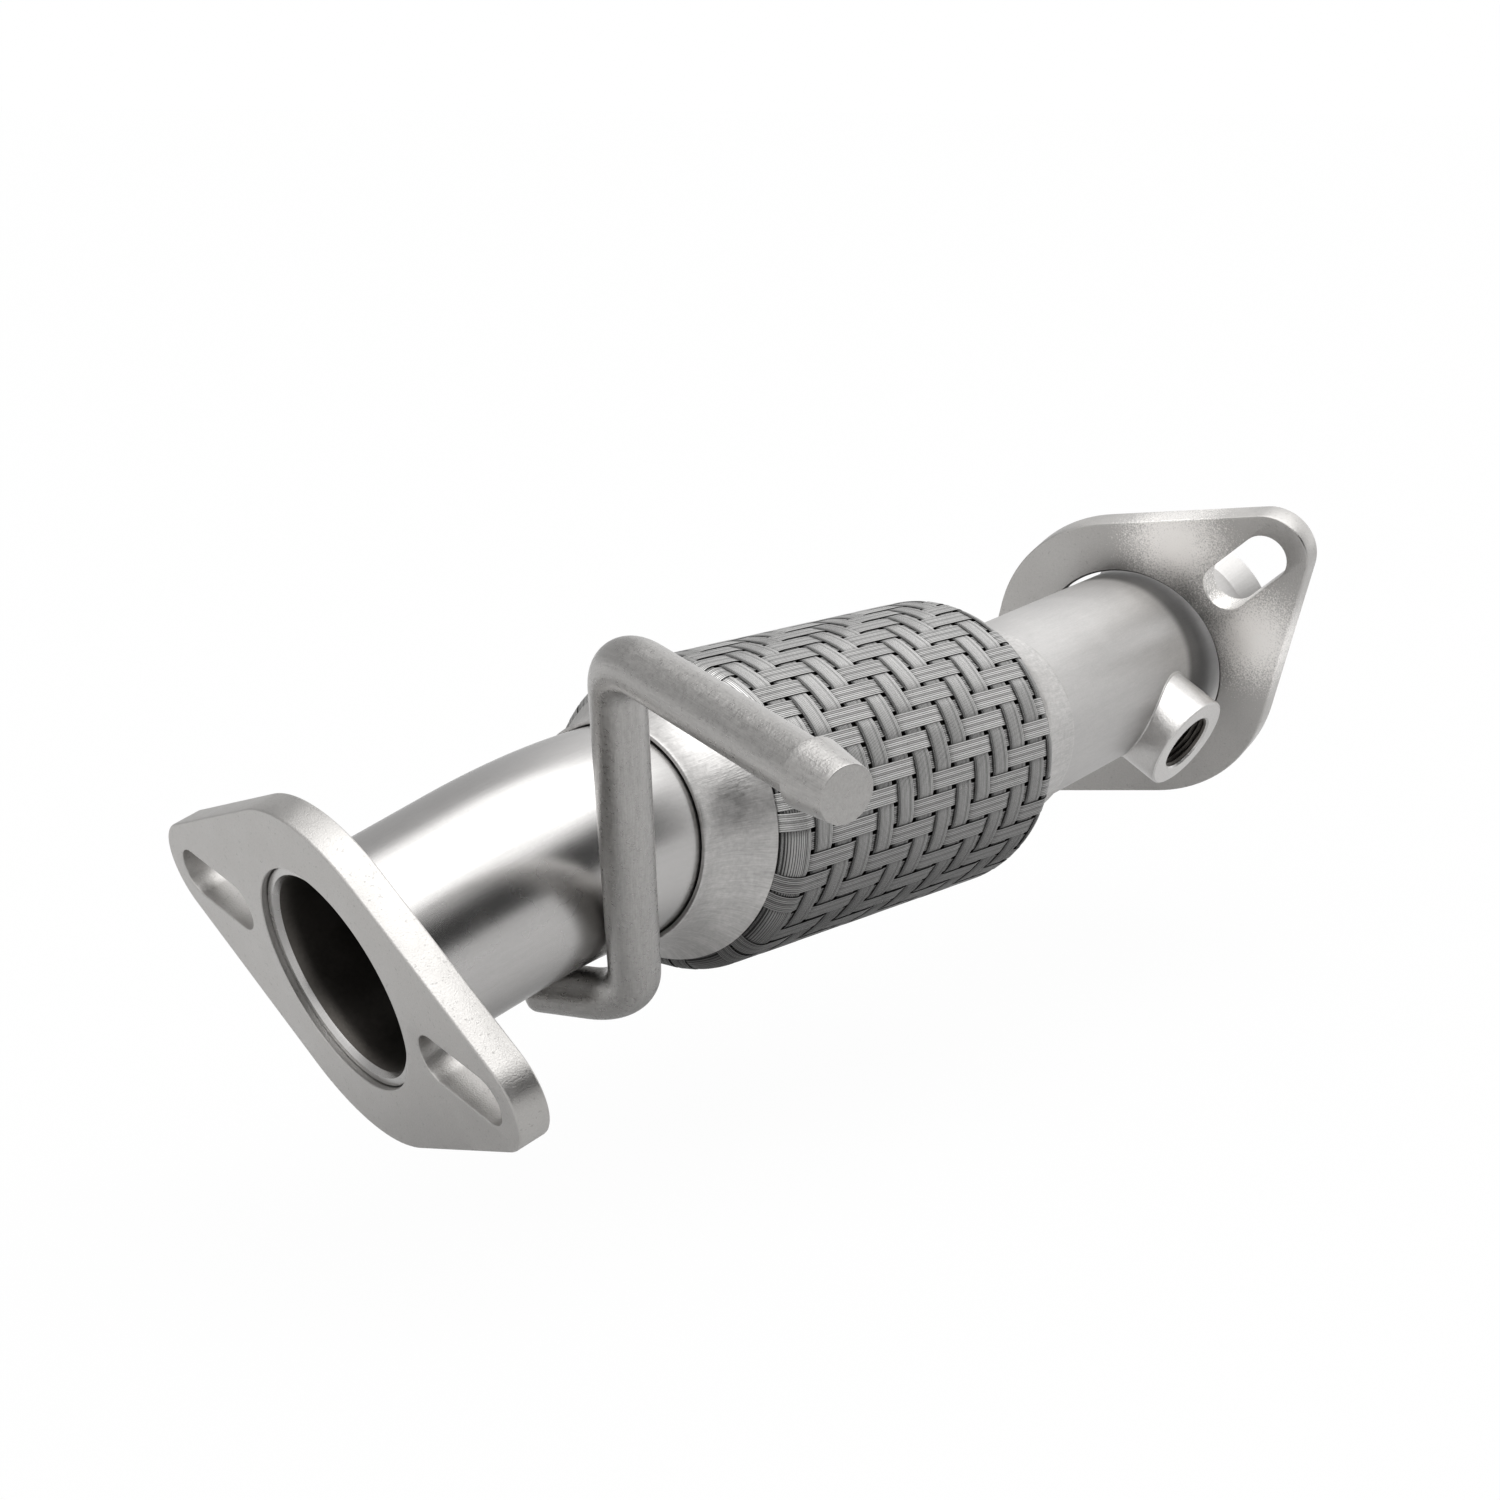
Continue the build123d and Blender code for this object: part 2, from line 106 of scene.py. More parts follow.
class TubeSizes(bpy.types.PropertyGroup):
    """Tube, its directions and its two ends."""

    radius: length(25.4, "Radius", "Outer radius of the tube")
    wall: length(1.5, "Wall", "Wall of the tube")
    inlet_azimuth: angle(-19.3, "Inlet azimuth", "Direction of the inlet from above")
    inlet_rise: angle(20.8, "Inlet rise", "Rise of the inlet towards the bend")
    inlet_straight: length(39.8, "Inlet straight", "Straight run before the bend")
    bend_radius: length(89.0, "Bend radius", "Radius of the bend's centreline")
    in_neck: length(17.0, "In the neck", "Length of tube inside each cap")
    lip_step: length(1.9, "Lip step", "How far the rolled lip stands out")
    lip_depth: length(1.5, "Lip depth", "Depth of the lip below the flange's face")
    lip_roll: length(3.5, "Lip roll", "Length over which the lip is rolled")
    seam: length(0.05, "Seam", "Gap between the mouth and the tube's outside")
    outlet_azimuth: angle(7.86, "Outlet azimuth", "Direction of the outlet from above")
    outlet_rise: angle(1.98, "Outlet rise", "Rise of the outlet")
    outlet_length: length(152.0, "Outlet length", "From the kink to the flared end")
    flare_step: length(5.9, "Flare", "How far the flared end stands out")
    edge: length(0.3, "Edge", "Rounding of cut sheet edges")


class InletPlateSizes(bpy.types.PropertyGroup):
    """Flange that is welded to the inlet."""

    thickness: length(8.0, "Thickness", "Thickness of the plate")
    lobe: length(42.2, "Lobe", "Radius of the middle of the outline")
    ear: length(13.1, "Ear", "Radius of the ears")
    ear_place: length(57.3, "Ear place", "From the centre to an ear's centre")
    slot_place: length(49.1, "Slot place", "From the centre to a slot's centre")
    slot_reach: length(18.0, "Slot reach", "Between the centres of a slot's ends")
    slot_radius: length(6.15, "Slot radius", "Half the width of a slot")
    turn: angle(14.5, "Turn", "Turn of the ears from the level line")
    edge: length(0.6, "Edge", "Rounding of the plate's edges")
    recess_gap: length(0.3, "Recess gap", "Gap round the lip")
    bore_gap: length(0.15, "Bore gap", "Gap round the tube")


class OutletPlateSizes(bpy.types.PropertyGroup):
    """Flange that is loose on the outlet."""

    thickness: length(8.0, "Thickness", "Thickness of the plate")
    lobe: length(43.4, "Lobe", "Radius of the middle of the outline")
    ear: length(12.5, "Ear", "Radius of the ears")
    ear_place: length(58.7, "Ear place", "From the centre to an ear's centre")
    slot_place: length(49.7, "Slot place", "From the centre to a slot's centre")
    slot_reach: length(15.6, "Slot reach", "Between the centres of a slot's ends")
    slot_radius: length(7.0, "Slot radius", "Half the width of a slot")
    turn: angle(141.5, "Turn", "Turn of the ears from the level line")
    edge: length(0.6, "Edge", "Rounding of the plate's edges")
    hole_gap: length(2.9, "Hole gap", "Gap round the tube")
    station: length(110.9, "Station", "Place along the outlet pipe")
    side: length(0.4, "Side", "How far it lies to one side")
    drop: length(1.4, "Drop", "How far it hangs below the pipe's axis")
    azimuth: angle(5.6, "Azimuth", "Direction of its axis from above")
    rise: angle(15.4, "Rise", "Rise of its axis")


class FlexSizes(bpy.types.PropertyGroup):
    """Caps, sleeve and bellows of the flex coupling."""

    neck_on_bend: length(2.8, "Neck on bend", "How far the neck reaches over the bend")
    to_kink: length(155.9, "To kink", "From the inlet neck to the outlet's axis")
    kink_to_neck: length(5.8, "Kink to neck", "From there to the outlet neck")
    kink_ease: length(5.0, "Kink ease", "Length over which the outlet cap turns")
    cap_sheet: length(1.2, "Cap sheet", "Thickness of the caps")
    cap_fit: length(0.3, "Cap fit", "Gap between neck and tube")
    cap_neck: length(2.4, "Cap neck", "Straight length of the neck")
    cap_length: length(19.2, "Cap length", "Length of the inlet cap")
    cap_rim: length(34.4, "Cap rim", "Outer radius of a cap's rim")
    braid_radius: length(37.7, "Braid radius", "Outer radius of the sleeve")
    braid_length: length(119.1, "Braid length", "Length between the rims")
    shoulder: length(7.0, "Shoulder", "Radius of the sleeve's shoulders")
    braid_fit: length(0.4, "Braid fit", "Gap between sleeve and cap")
    hoops: count(14, "Hoops", "Ribbons that run round the sleeve")
    hoop_width: length(6.9, "Hoop width", "Width of a hoop ribbon")
    hoop_inset: length(0.1, "Hoop inset", "From a rim to the nearest hoop")
    hoop_wires: count(13, "Hoop wires", "Wires in a hoop ribbon")
    rows: count(44, "Rows", "Ribbons that run along the sleeve")
    row_width: length(4.3, "Row width", "Width of a row ribbon")
    row_start: angle(2.97, "Row start", "Angle of the first row")
    row_wires: count(9, "Row wires", "Wires in a row ribbon")
    ribbon_thick: length(0.22, "Ribbon", "Thickness of a ribbon")
    ribbon_swing: length(0.14, "Swing", "How far a ribbon rises and dips")
    wire_relief: length(0.08, "Wire relief", "Height of the wires in a ribbon")
    bellows_crest: length(35.5, "Bellows crest", "Outer radius of the folds")
    bellows_root: length(28.5, "Bellows root", "Inner radius of the folds")
    bellows_wall: length(0.6, "Bellows wall", "Thickness of the bellows")
    bellows_folds: count(22, "Folds", "Folds of the bellows")
    bellows_cuff: length(5.5, "Cuff", "Length of the bellows past the sleeve")
    liner_fit: length(0.3, "Liner fit", "Gap between the liner and the inlet pipe")
    liner_wall: length(1.2, "Liner wall", "Thickness of the liner")
    liner_length: length(118.0, "Liner length", "Length of the liner")
    liner_seat: length(10.0, "Liner seat", "Length of liner inside the inlet pipe")


class RodSizes(bpy.types.PropertyGroup):
    """Hanger rod: its corners are worked out from the weld under the pipe."""

    radius: length(6.0, "Radius", "Radius of the rod")
    bend_radius: length(16.0, "Bend radius", "Radius of its bends")
    station: length(55.6, "Station", "Place of the weld along the pipe")
    weld_gap: length(0.3, "Weld gap", "Gap between rod and pipe")
    stub_azimuth: angle(99.1, "Stub azimuth", "Direction of the stub from above")
    stub_rise: angle(-0.4, "Stub rise", "Rise of the stub")
    stub_to_corner: length(21.4, "Stub to corner", "From the weld to the corner")
    stub_past_weld: length(5.7, "Past the weld", "Length of stub past the weld")
    stub_round: length(2.2, "Stub rounding", "Rounding of the stub's end")
    leg_azimuth: angle(-144.5, "Leg azimuth", "Direction of the leg from above")
    leg_rise: angle(49.5, "Leg rise", "Rise of the leg")
    leg_length: length(122.6, "Leg length", "Length of the leg")
    arm_azimuth: angle(-108.0, "Arm azimuth", "Direction of the arm from above")
    arm_rise: angle(-11.8, "Arm rise", "Rise of the arm")
    arm_length: length(77.1, "Arm length", "Length of the arm")
    head_length: length(11.0, "Head length", "Length of the tapered head")
    head_base: length(7.3, "Head base", "Radius of the head's base")
    head_end: length(6.0, "Head end", "Radius of the head's end")
    head_edge: length(0.2, "Head edge", "Rounding of the head's edges")


class BungSizes(bpy.types.PropertyGroup):
    """Threaded boss for the sensor."""

    station: length(85.5, "Station", "Place along the outlet pipe")
    down: angle(30.9, "Down", "Angle below the horizontal")
    tilt: angle(7.0, "Tilt", "Lean towards the inlet")
    radius: length(14.5, "Radius", "Outer radius of the boss")
    stand: length(10.0, "Stand", "Height above the tube")
    bore: length(8.2, "Bore", "Radius of the thread's crests")
    rim: length(0.6, "Rim", "Chamfers at the top")
    pitch: length(1.5, "Pitch", "Pitch of the thread")
    thread_depth: length(0.8, "Thread depth", "Depth of the thread")
    bead: length(0.35, "Bead", "Size of the weld bead at the foot")


class SteelColours(bpy.types.PropertyGroup):
    """Base colours of the steels."""

    pipe: colour(0.450, 0.442, 0.435, "Pipe", "Tube")
    cap: colour(0.440, 0.432, 0.424, "Cap", "Spun caps")
    plate: colour(0.430, 0.420, 0.408, "Plate", "Flanges")
    braid: colour(0.385, 0.382, 0.376, "Braid", "Wire ribbons")
    rod: colour(0.370, 0.362, 0.353, "Rod", "Hanger rod")
    bung: colour(0.560, 0.550, 0.540, "Bung", "Sensor bung")
    # painted shade: this dark colour stands in for the shade inside the bores and on the bellows inside
    # the sleeve
    inner: colour(0.090, 0.083, 0.076, "Inner", "Bellows and liner")


class StudioSettings(bpy.types.PropertyGroup):
    """Floor, lights and camera: each light of the room has a direction, a core of full
    strength and a spread at which it ends."""

    floor_drop: length(60.0, "Floor drop", "Depth of the floor below the origin")
    floor_reach: length(30000.0, "Floor reach", "Half the width of the floor")
    pale_floor: colour(0.56, 0.56, 0.56, "Floor colour", "Colour of the floor")
    focal_length: number(79.442, "Focal length", "Lens in millimetres")
    room_light: number(0.58, "Room light", "Brightness of the room all round")
    key_azimuth: angle(-100.0, "Key azimuth", "Direction of the overhead light")
    key_height: angle(76.0, "Key height", "Height of the overhead light")
    key_core: angle(26.0, "Key core", "Core of the overhead light")
    key_spread: angle(50.0, "Key spread", "Spread of the overhead light")
    key_light: number(2.1, "Key light", "Brightness of the overhead light")
    end_azimuth: angle(-15.0, "End azimuth", "Direction of the lighter end")
    end_height: angle(25.0, "End height", "Height of the lighter end")
    end_core: angle(15.0, "End core", "Core of the lighter end")
    end_spread: angle(65.0, "End spread", "Spread of the lighter end")
    end_light: number(0.9, "End light", "Extra brightness past the outlet")
    side_azimuth: angle(175.0, "Side azimuth", "Direction of the lighter side")
    side_height: angle(30.0, "Side height", "Height of the lighter side")
    side_core: angle(10.0, "Side core", "Core of the lighter side")
    side_spread: angle(55.0, "Side spread", "Spread of the lighter side")
    side_light: number(0.6, "Side light", "Extra brightness of that side")
    dark_azimuth: angle(-92.0, "Dark azimuth", "Direction of the dark side")
    dark_height: angle(12.0, "Dark height", "Height of the dark side")
    dark_core: angle(24.0, "Dark core", "Core of the dark side")
    dark_spread: angle(62.0, "Dark spread", "Spread of the dark side")
    dark_share: number(0.97, "Dark share", "Share of the room's light that it takes away")
    lamp_power: number(2.0, "Lamp", "Power of the lamp that casts the shadow")
    lamp_size: length(1300.0, "Lamp size", "Width of the lamp")
    lamp_distance: length(1500.0, "Lamp distance", "From the lamp to the object")


GROUPS = {
    "tube_sizes": TubeSizes,
    "inlet_plate": InletPlateSizes,
    "outlet_plate": OutletPlateSizes,
    "flex_sizes": FlexSizes,
    "rod_sizes": RodSizes,
    "bung_sizes": BungSizes,
    "steel_colours": SteelColours,
    "studio_settings": StudioSettings,
}


def settings(name):
    """The values of one property group in the current scene."""
    return getattr(bpy.context.scene, name)


def between(first, last, share):
    """Value at a share of the way from the first to the last."""
    return first * (1 - share) + last * share


def heading(azimuth, rise):
    """Unit vector (cos rise cos azimuth, cos rise sin azimuth, sin rise)."""
    return np.array(
        [np.cos(rise) * np.cos(azimuth), np.cos(rise) * np.sin(azimuth), np.sin(rise)]
    )


def unit(vector):
    """The vector divided by its length."""
    return vector / np.linalg.norm(vector)


def ring_way(a, level, upright):
    """Direction at angle a in a plane: cos a times its level axis plus sin a times its
    upright one."""
    return np.cos(a) * level + np.sin(a) * upright


def tangent_arc(run, rise):
    """Radius of the arc that leaves a line without a kink and has that rise after that
    run: (run^2 + rise^2) / (2 rise)."""
    return (run**2 + rise**2) / (2 * rise)


def arc_rise(radius, d):
    """Rise of such an arc at a distance d: R - sqrt(R^2 - d^2)."""
    return radius - np.sqrt(radius**2 - d**2)


def axes_along(way):
    """Rows of local axes: X along the way, Y level, Z as upright as it can be."""
    side = unit(np.cross([0.0, 0.0, 1.0], way))
    return np.array([way, side, np.cross(way, side)])


class Layout:
    """Places and directions of the pipe, worked out from the sizes."""

    def __init__(self):
        tube, flex = settings("tube_sizes"), settings("flex_sizes")
        self.inlet_way = heading(tube.inlet_azimuth, tube.inlet_rise)
        self.outlet_way = heading(tube.outlet_azimuth, tube.outlet_rise)
        self.flex_way = np.array([1.0, 0.0, 0.0])
        bend = np.arccos(self.inlet_way @ self.flex_way)
        tangent = tube.bend_radius * np.tan(bend / 2)
        self.corner = self.inlet_way * (tube.inlet_straight + tangent)
        self.neck = self.corner + self.flex_way * (tangent - flex.neck_on_bend)
        self.kink = self.neck + self.flex_way * flex.to_kink
        self.outlet_neck = self.kink + self.outlet_way * flex.kink_to_neck
        self.sleeve_start = self.neck + self.flex_way * (flex.cap_length + flex.braid_fit)


class Route:
    """Line of straight runs joined by arcs, with local axes that turn with it."""

    def __init__(self, corners, radii=()):
        place = np.array(corners[0], float)
        axes = axes_along(unit(corners[1] - place))
        self.runs, self.length = [], 0.0
        for index, corner in enumerate(corners[1:]):
            turn, cut, pivot = 0.0, 0.0, axes[2]
            if index < len(radii):
                ahead = unit(corners[index + 2] - corner)
                turn = np.arccos(np.clip(axes[0] @ ahead, -1, 1))
                pivot = unit(np.cross(axes[0], ahead))
                cut = radii[index] * np.tan(turn / 2)
            straight = np.linalg.norm(corner - place) - cut
            place, axes = self.add_run(straight, 0.0, place, axes, pivot)
            if turn:
                arc = radii[index] * turn
                place, axes = self.add_run(arc, 1 / radii[index], place, axes, pivot)

    def add_run(self, reach, curve, place, axes, pivot):
        """Keeps one run and gives the place and the axes at its end."""
        self.runs.append((self.length, curve, place, axes, pivot))
        self.length += reach
        places, frames = self.on_run(np.array([reach]), self.runs[-1])
        return places[0], frames[0]

    def on_run(self, along, run):
        """Straight: place + along X. Arc: the axes turn by along x curve about the pivot,
        and the place moves by (X sin a + inward (1 - cos a)) / curve."""
        _, curve, place, axes, pivot = run
        if not curve:
            return place + along[:, None] * axes[0], np.repeat(axes[None], len(along), 0)
        a = (along * curve)[:, None, None]
        kept = (axes @ pivot)[:, None] * pivot
        frames = kept + (axes - kept) * np.cos(a) + np.cross(pivot, axes) * np.sin(a)
        inward = np.cross(pivot, axes[0])
        moved = axes[0] * np.sin(a[:, 0]) + inward * (1 - np.cos(a[:, 0]))
        return place + moved / curve, frames

    def at(self, along):
        """Places and local axes at an array of distances along the line."""
        places, frames = np.empty((len(along), 3)), np.empty((len(along), 3, 3))
        starts = [run[0] for run in self.runs[1:]]
        which = np.searchsorted(starts, along, side="right")
        for index, run in enumerate(self.runs):
            mine = which == index
            places[mine], frames[mine] = self.on_run(along[mine] - run[0], run)
        return places, frames


def rounded(corners, radii, steps=5, closed=True):
    """Outline with an arc of its own radius at each corner: the arc's points turn evenly
    about the corner's inner centre. An open outline's end points are left out."""
    corners = np.array(corners, float)
    back = np.roll(corners, 1, axis=0) - corners
    ahead = np.roll(corners, -1, axis=0) - corners
    if not closed:
        corners, back, ahead = corners[1:-1], back[1:-1], ahead[1:-1]
    back /= np.linalg.norm(back, axis=1)[:, None]
    ahead /= np.linalg.norm(ahead, axis=1)[:, None]
    half = np.arccos(np.clip((back * ahead).sum(1), -1, 1)) / 2
    radii = np.broadcast_to(np.array(radii, float), half.shape)
    middle = (back + ahead) / np.linalg.norm(back + ahead, axis=1)[:, None]
    centres = corners + middle * (radii / np.sin(half))[:, None]
    first = corners + back * (radii / np.tan(half))[:, None] - centres
    last = corners + ahead * (radii / np.tan(half))[:, None] - centres
    t = np.linspace(0, 1, steps)[None, :, None]
    arc = between(first[:, None], last[:, None], t)
    arc /= np.linalg.norm(arc, axis=2)[..., None]
    return (centres[:, None] + arc * radii[:, None, None]).reshape(-1, 2)


def finely(outline, spacing, closed=True):
    """Outline with each long side cut into equal steps no longer than the spacing."""
    ahead = np.roll(outline, -1, axis=0)
    sides = np.linalg.norm(ahead - outline, axis=1)
    steps = np.maximum(1, np.ceil(sides / spacing)).astype(int)
    if not closed:
        steps[-1] = 1
    index = np.repeat(np.arange(len(outline)), steps)
    share = np.arange(steps.sum()) - np.repeat(np.cumsum(steps) - steps, steps)
    return between(outline[index], ahead[index], (share / steps[index])[:, None])


def swept_volume(points, corners):
    """Signed volume under a set of faces: a sixth of p0 . (pk x pk+1) over their fans."""
    first = points[corners[:, 0]]
    total = 0.0
    for k in range(1, corners.shape[1] - 1):
        across = np.cross(points[corners[:, k]], points[corners[:, k + 1]])
        total += np.einsum("ij,ij->", first, across) / 6
    return total


def mesh_piece(name, points, smooth, flat=(), uv=None, crease=30):
    """Closed mesh object from points and arrays of faces with equal numbers of corners,
    with a uv array beside each face array. Faces are turned round where the volume
    that they enclose comes out negative, and edges that turn by more than the crease,
    in degrees, are sharp."""
    groups = [*smooth, *flat]
    middle = points.mean(axis=0)
    if sum(swept_volume(points - middle, corners) for corners in groups) < 0:
        groups = [corners[:, ::-1] for corners in groups]
        uv = uv and [pairs[:, ::-1] for pairs in uv]
    loops = np.concatenate([corners.ravel() for corners in groups]).astype(np.int32)
    sizes = np.concatenate([np.full(len(corners), corners.shape[1]) for corners in groups])
    mesh = bpy.data.meshes.new(name)
    mesh.vertices.add(len(points))
    mesh.vertices.foreach_set("co", np.ascontiguousarray(points, np.float32).ravel())
    mesh.loops.add(len(loops))
    mesh.loops.foreach_set("vertex_index", loops)
    mesh.polygons.add(len(sizes))
    mesh.polygons.foreach_set("loop_start", (np.cumsum(sizes) - sizes).astype(np.int32))
    soft = np.arange(len(sizes)) < sum(len(corners) for corners in smooth)
    mesh.polygons.foreach_set("use_smooth", soft)
    if uv:
        layer = mesh.uv_layers.new(name="UVMap")
        pairs = np.concatenate([values.reshape(-1, 2) for values in uv])
        layer.data.foreach_set("uv", np.ascontiguousarray(pairs, np.float32).ravel())
    mesh.update()
    mesh.validate()
    mesh.set_sharp_from_angle(angle=float(np.radians(crease)))
    piece = bpy.data.objects.new(name, mesh)
    bpy.context.scene.collection.objects.link(piece)
    return piece


def grid_corners(rows, columns, wrap_rows, wrap_columns=True):
    """Row and column of each face's four corners, not yet wrapped round: face (i, j)
    joins (i, j), (i, j + 1), (i + 1, j + 1) and (i + 1, j)."""
    i, j = np.meshgrid(
        np.arange(rows if wrap_rows else rows - 1),
        np.arange(columns if wrap_columns else columns - 1),
        indexing="ij",
    )
    row = np.stack([i, i, i + 1, i + 1], -1).reshape(-1, 4)
    column = np.stack([j, j + 1, j + 1, j], -1).reshape(-1, 4)
    return row, column


def end_faces(stations, places):
    """The two end faces of a grid that closes only round its places, each one's corners
    in the order that faces outwards."""
    first = np.arange(places)
    return np.stack([first[::-1], (stations - 1) * places + first])


def grid_piece(name, points, wrap_rows):
    """Piece from a grid points[i, j] that closes round j, and round i too or with a flat
    face at each end. Its uv is the distance in metres along i and round j."""
    rows, columns = points.shape[:2]
    row, column = grid_corners(rows, columns, wrap_rows)
    along = np.linalg.norm(np.diff(points[:, 0], axis=0, append=points[:1, 0]), axis=1)
    u = np.concatenate([[0], np.cumsum(along)])
    girth = np.linalg.norm(points[:, 0] - points[:, columns // 2], axis=1).max() * np.pi
    pairs = np.stack([u[row], column * girth / columns], -1)
    corners = (row % rows) * columns + column % columns
    flat = [] if wrap_rows else [end_faces(rows, columns)]
    uv = [pairs, *(np.zeros((*ends.shape, 2)) for ends in flat)]
    return mesh_piece(name, points.reshape(-1, 3), [corners], flat, uv)


def carried(route, outline, sides):
    """Grid of an outline (s, r) carried along a route: the route's place at s plus
    r (cos a Y + sin a Z), with a even round it."""
    places, frames = route.at(outline[:, 0])
    a = np.linspace(0, 2 * np.pi, sides, endpoint=False)[None, :, None]
    ring = ring_way(a, frames[:, None, 1], frames[:, None, 2])
    return places[:, None] + outline[:, 1, None, None] * ring


def stand_in(piece, node, body, material):
    """Puts a finished piece in the place of a CAD node."""
    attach(piece, body)
    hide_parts(node)
    dress(piece, bpy.data.materials[material])


def dress(piece, material):
    """Gives a piece one material."""
    piece.data.materials.clear()
    piece.data.materials.append(material)


def paint_shade_inside(piece, faces):
    """Paints shade inside: gives faces the dark steel that stands in for the shade inside bores. The mask
    covers the mesh's first faces, and those past its end keep the piece's own steel."""
    piece.data.materials.append(bpy.data.materials["Inner steel"])
    chosen = np.zeros(len(piece.data.polygons), np.int32)
    chosen[: len(faces)] = faces
    piece.data.polygons.foreach_set("material_index", chosen)


def new_group(name, inputs, outputs):
    """Empty shader node group with named sockets, and its input and output nodes."""
    group = bpy.data.node_groups.new(name, "ShaderNodeTree")
    for socket, kind, default in inputs:
        made = group.interface.new_socket(socket, in_out="INPUT", socket_type=kind)
        if default is not None:
            made.default_value = default
    for socket in outputs:
        group.interface.new_socket(socket, in_out="OUTPUT", socket_type="NodeSocketFloat")
    source, sink = group.nodes.new("NodeGroupInput"), group.nodes.new("NodeGroupOutput")
    return group, source.outputs, sink.inputs


def feed(tree, socket, value):
    """Sets a socket to a number, or links another socket to it."""
    if isinstance(value, (int, float)):
        socket.default_value = value
    else:
        tree.links.new(value, socket)


def maths(tree, operation, *values):
    """Result of a Math node on sockets or numbers."""
    node = tree.nodes.new("ShaderNodeMath")
    node.operation = operation
    for socket, value in zip(node.inputs, values):
        feed(tree, socket, value)
    return node.outputs[0]


def swung(tree, value, depth):
    """Tone about 1 from a value about a half: 1 + (value - 1/2) depth."""
    return maths(tree, "MULTIPLY_ADD", maths(tree, "SUBTRACT", value, 0.5), depth, 1.0)


def raised(tree, value, floor):
    """Value between 0 and 1 brought between a floor and 1."""
    return maths(tree, "MULTIPLY_ADD", value, maths(tree, "SUBTRACT", 1.0, floor), floor)


def mixed(tree, first, second, share):
    """A share of the first value and the rest of the second."""
    rest = maths(tree, "MULTIPLY", second, 1 - share)
    return maths(tree, "MULTIPLY_ADD", first, share, rest)


def noise(tree, vector, scale, detail=3.0, roughness=0.6):
    """Noise texture read at a vector, with a linked or a fixed scale."""
    node = tree.nodes.new("ShaderNodeTexNoise")
    node.inputs["Detail"].default_value = detail
    node.inputs["Roughness"].default_value = roughness
    tree.links.new(vector, node.inputs["Vector"])
    feed(tree, node.inputs["Scale"], scale)
    return node.outputs["Fac"]


def eased(tree, value, low, high, start=0.0, end=1.0):
    """Smooth step of a value from low to high, giving start to end."""
    node = tree.nodes.new("ShaderNodeMapRange")
    node.interpolation_type = "SMOOTHSTEP"
    tree.links.new(value, node.inputs["Value"])
    limits = {"From Min": low, "From Max": high, "To Min": start, "To Max": end}
    for socket, limit in limits.items():
        node.inputs[socket].default_value = limit
    return node.outputs["Result"]


def own_uv(tree):
    """The piece's own uv."""
    node = tree.nodes.new("ShaderNodeUVMap")
    node.uv_map = "UVMap"
    return node.outputs["UV"]


def separated(tree, vector):
    """The outputs X, Y and Z of a vector."""
    node = tree.nodes.new("ShaderNodeSeparateXYZ")
    tree.links.new(vector, node.inputs[0])
    return node.outputs


def placed_group(tree, name, values):
    """Outputs of a shared group in a material, with numbers or sockets for its inputs."""
    node = tree.nodes.new("ShaderNodeGroup")
    node.node_tree = bpy.data.node_groups[name]
    for socket, value in values.items():
        feed(tree, node.inputs[socket], value)
    return node.outputs


def blasted_group():
    """Blasted steel: fine grain in the height, small dark pits and soft mottling."""
    grain_share, pit_scale, pit_start, pit_full = 0.5, 0.45, 0.63, 0.7
    group, source, sink = new_group(
        "Blasted steel",
        [
            ("Vector", "NodeSocketVector", None),
            ("Grain scale", "NodeSocketFloat", 900.0),
            ("Mottle scale", "NodeSocketFloat", 60.0),
            ("Tone depth", "NodeSocketFloat", 0.2),
            ("Pit depth", "NodeSocketFloat", 0.0),
        ],
        ("Height", "Tone", "Mottle"),
    )
    vector = source["Vector"]
    grain = noise(group, vector, source["Grain scale"], 3.0)
    mottle = noise(group, vector, source["Mottle scale"], 4.0)
    tone = swung(group, mixed(group, grain, mottle, grain_share), source["Tone depth"])
    speck = noise(group, vector, maths(group, "MULTIPLY", source["Grain scale"], pit_scale), 2.0)
    pits = maths(group, "MULTIPLY", eased(group, speck, pit_start, pit_full), source["Pit depth"])
    group.links.new(maths(group, "SUBTRACT", grain, pits), sink["Height"])
    group.links.new(maths(group, "SUBTRACT", tone, pits), sink["Tone"])
    group.links.new(mottle, sink["Mottle"])
    return group


def strokes_group():
    """Brush strokes: fine and broad noise drawn out along u of the piece's own uv."""
    drawn_out, broad_scale, fine_share = (0.08, 1.0, 1.0), 0.2, 0.6
    group, source, sink = new_group(
        "Brush strokes",
        [
            ("UV", "NodeSocketVector", None),
            ("Stroke width", "NodeSocketFloat", 2500.0),
            ("Tone depth", "NodeSocketFloat", 0.2),
        ],
        ("Height", "Tone"),
    )
    along = group.nodes.new("ShaderNodeMapping")
    along.inputs["Scale"].default_value = drawn_out
    group.links.new(source["UV"], along.inputs["Vector"])
    vector, width = along.outputs["Vector"], source["Stroke width"]
    fine = noise(group, vector, width, 3.0)
    broad = noise(group, vector, maths(group, "MULTIPLY", width, broad_scale), 2.0)
    both = mixed(group, fine, broad, fine_share)
    group.links.new(both, sink["Height"])
    group.links.new(swung(group, both, source["Tone depth"]), sink["Tone"])
    return group


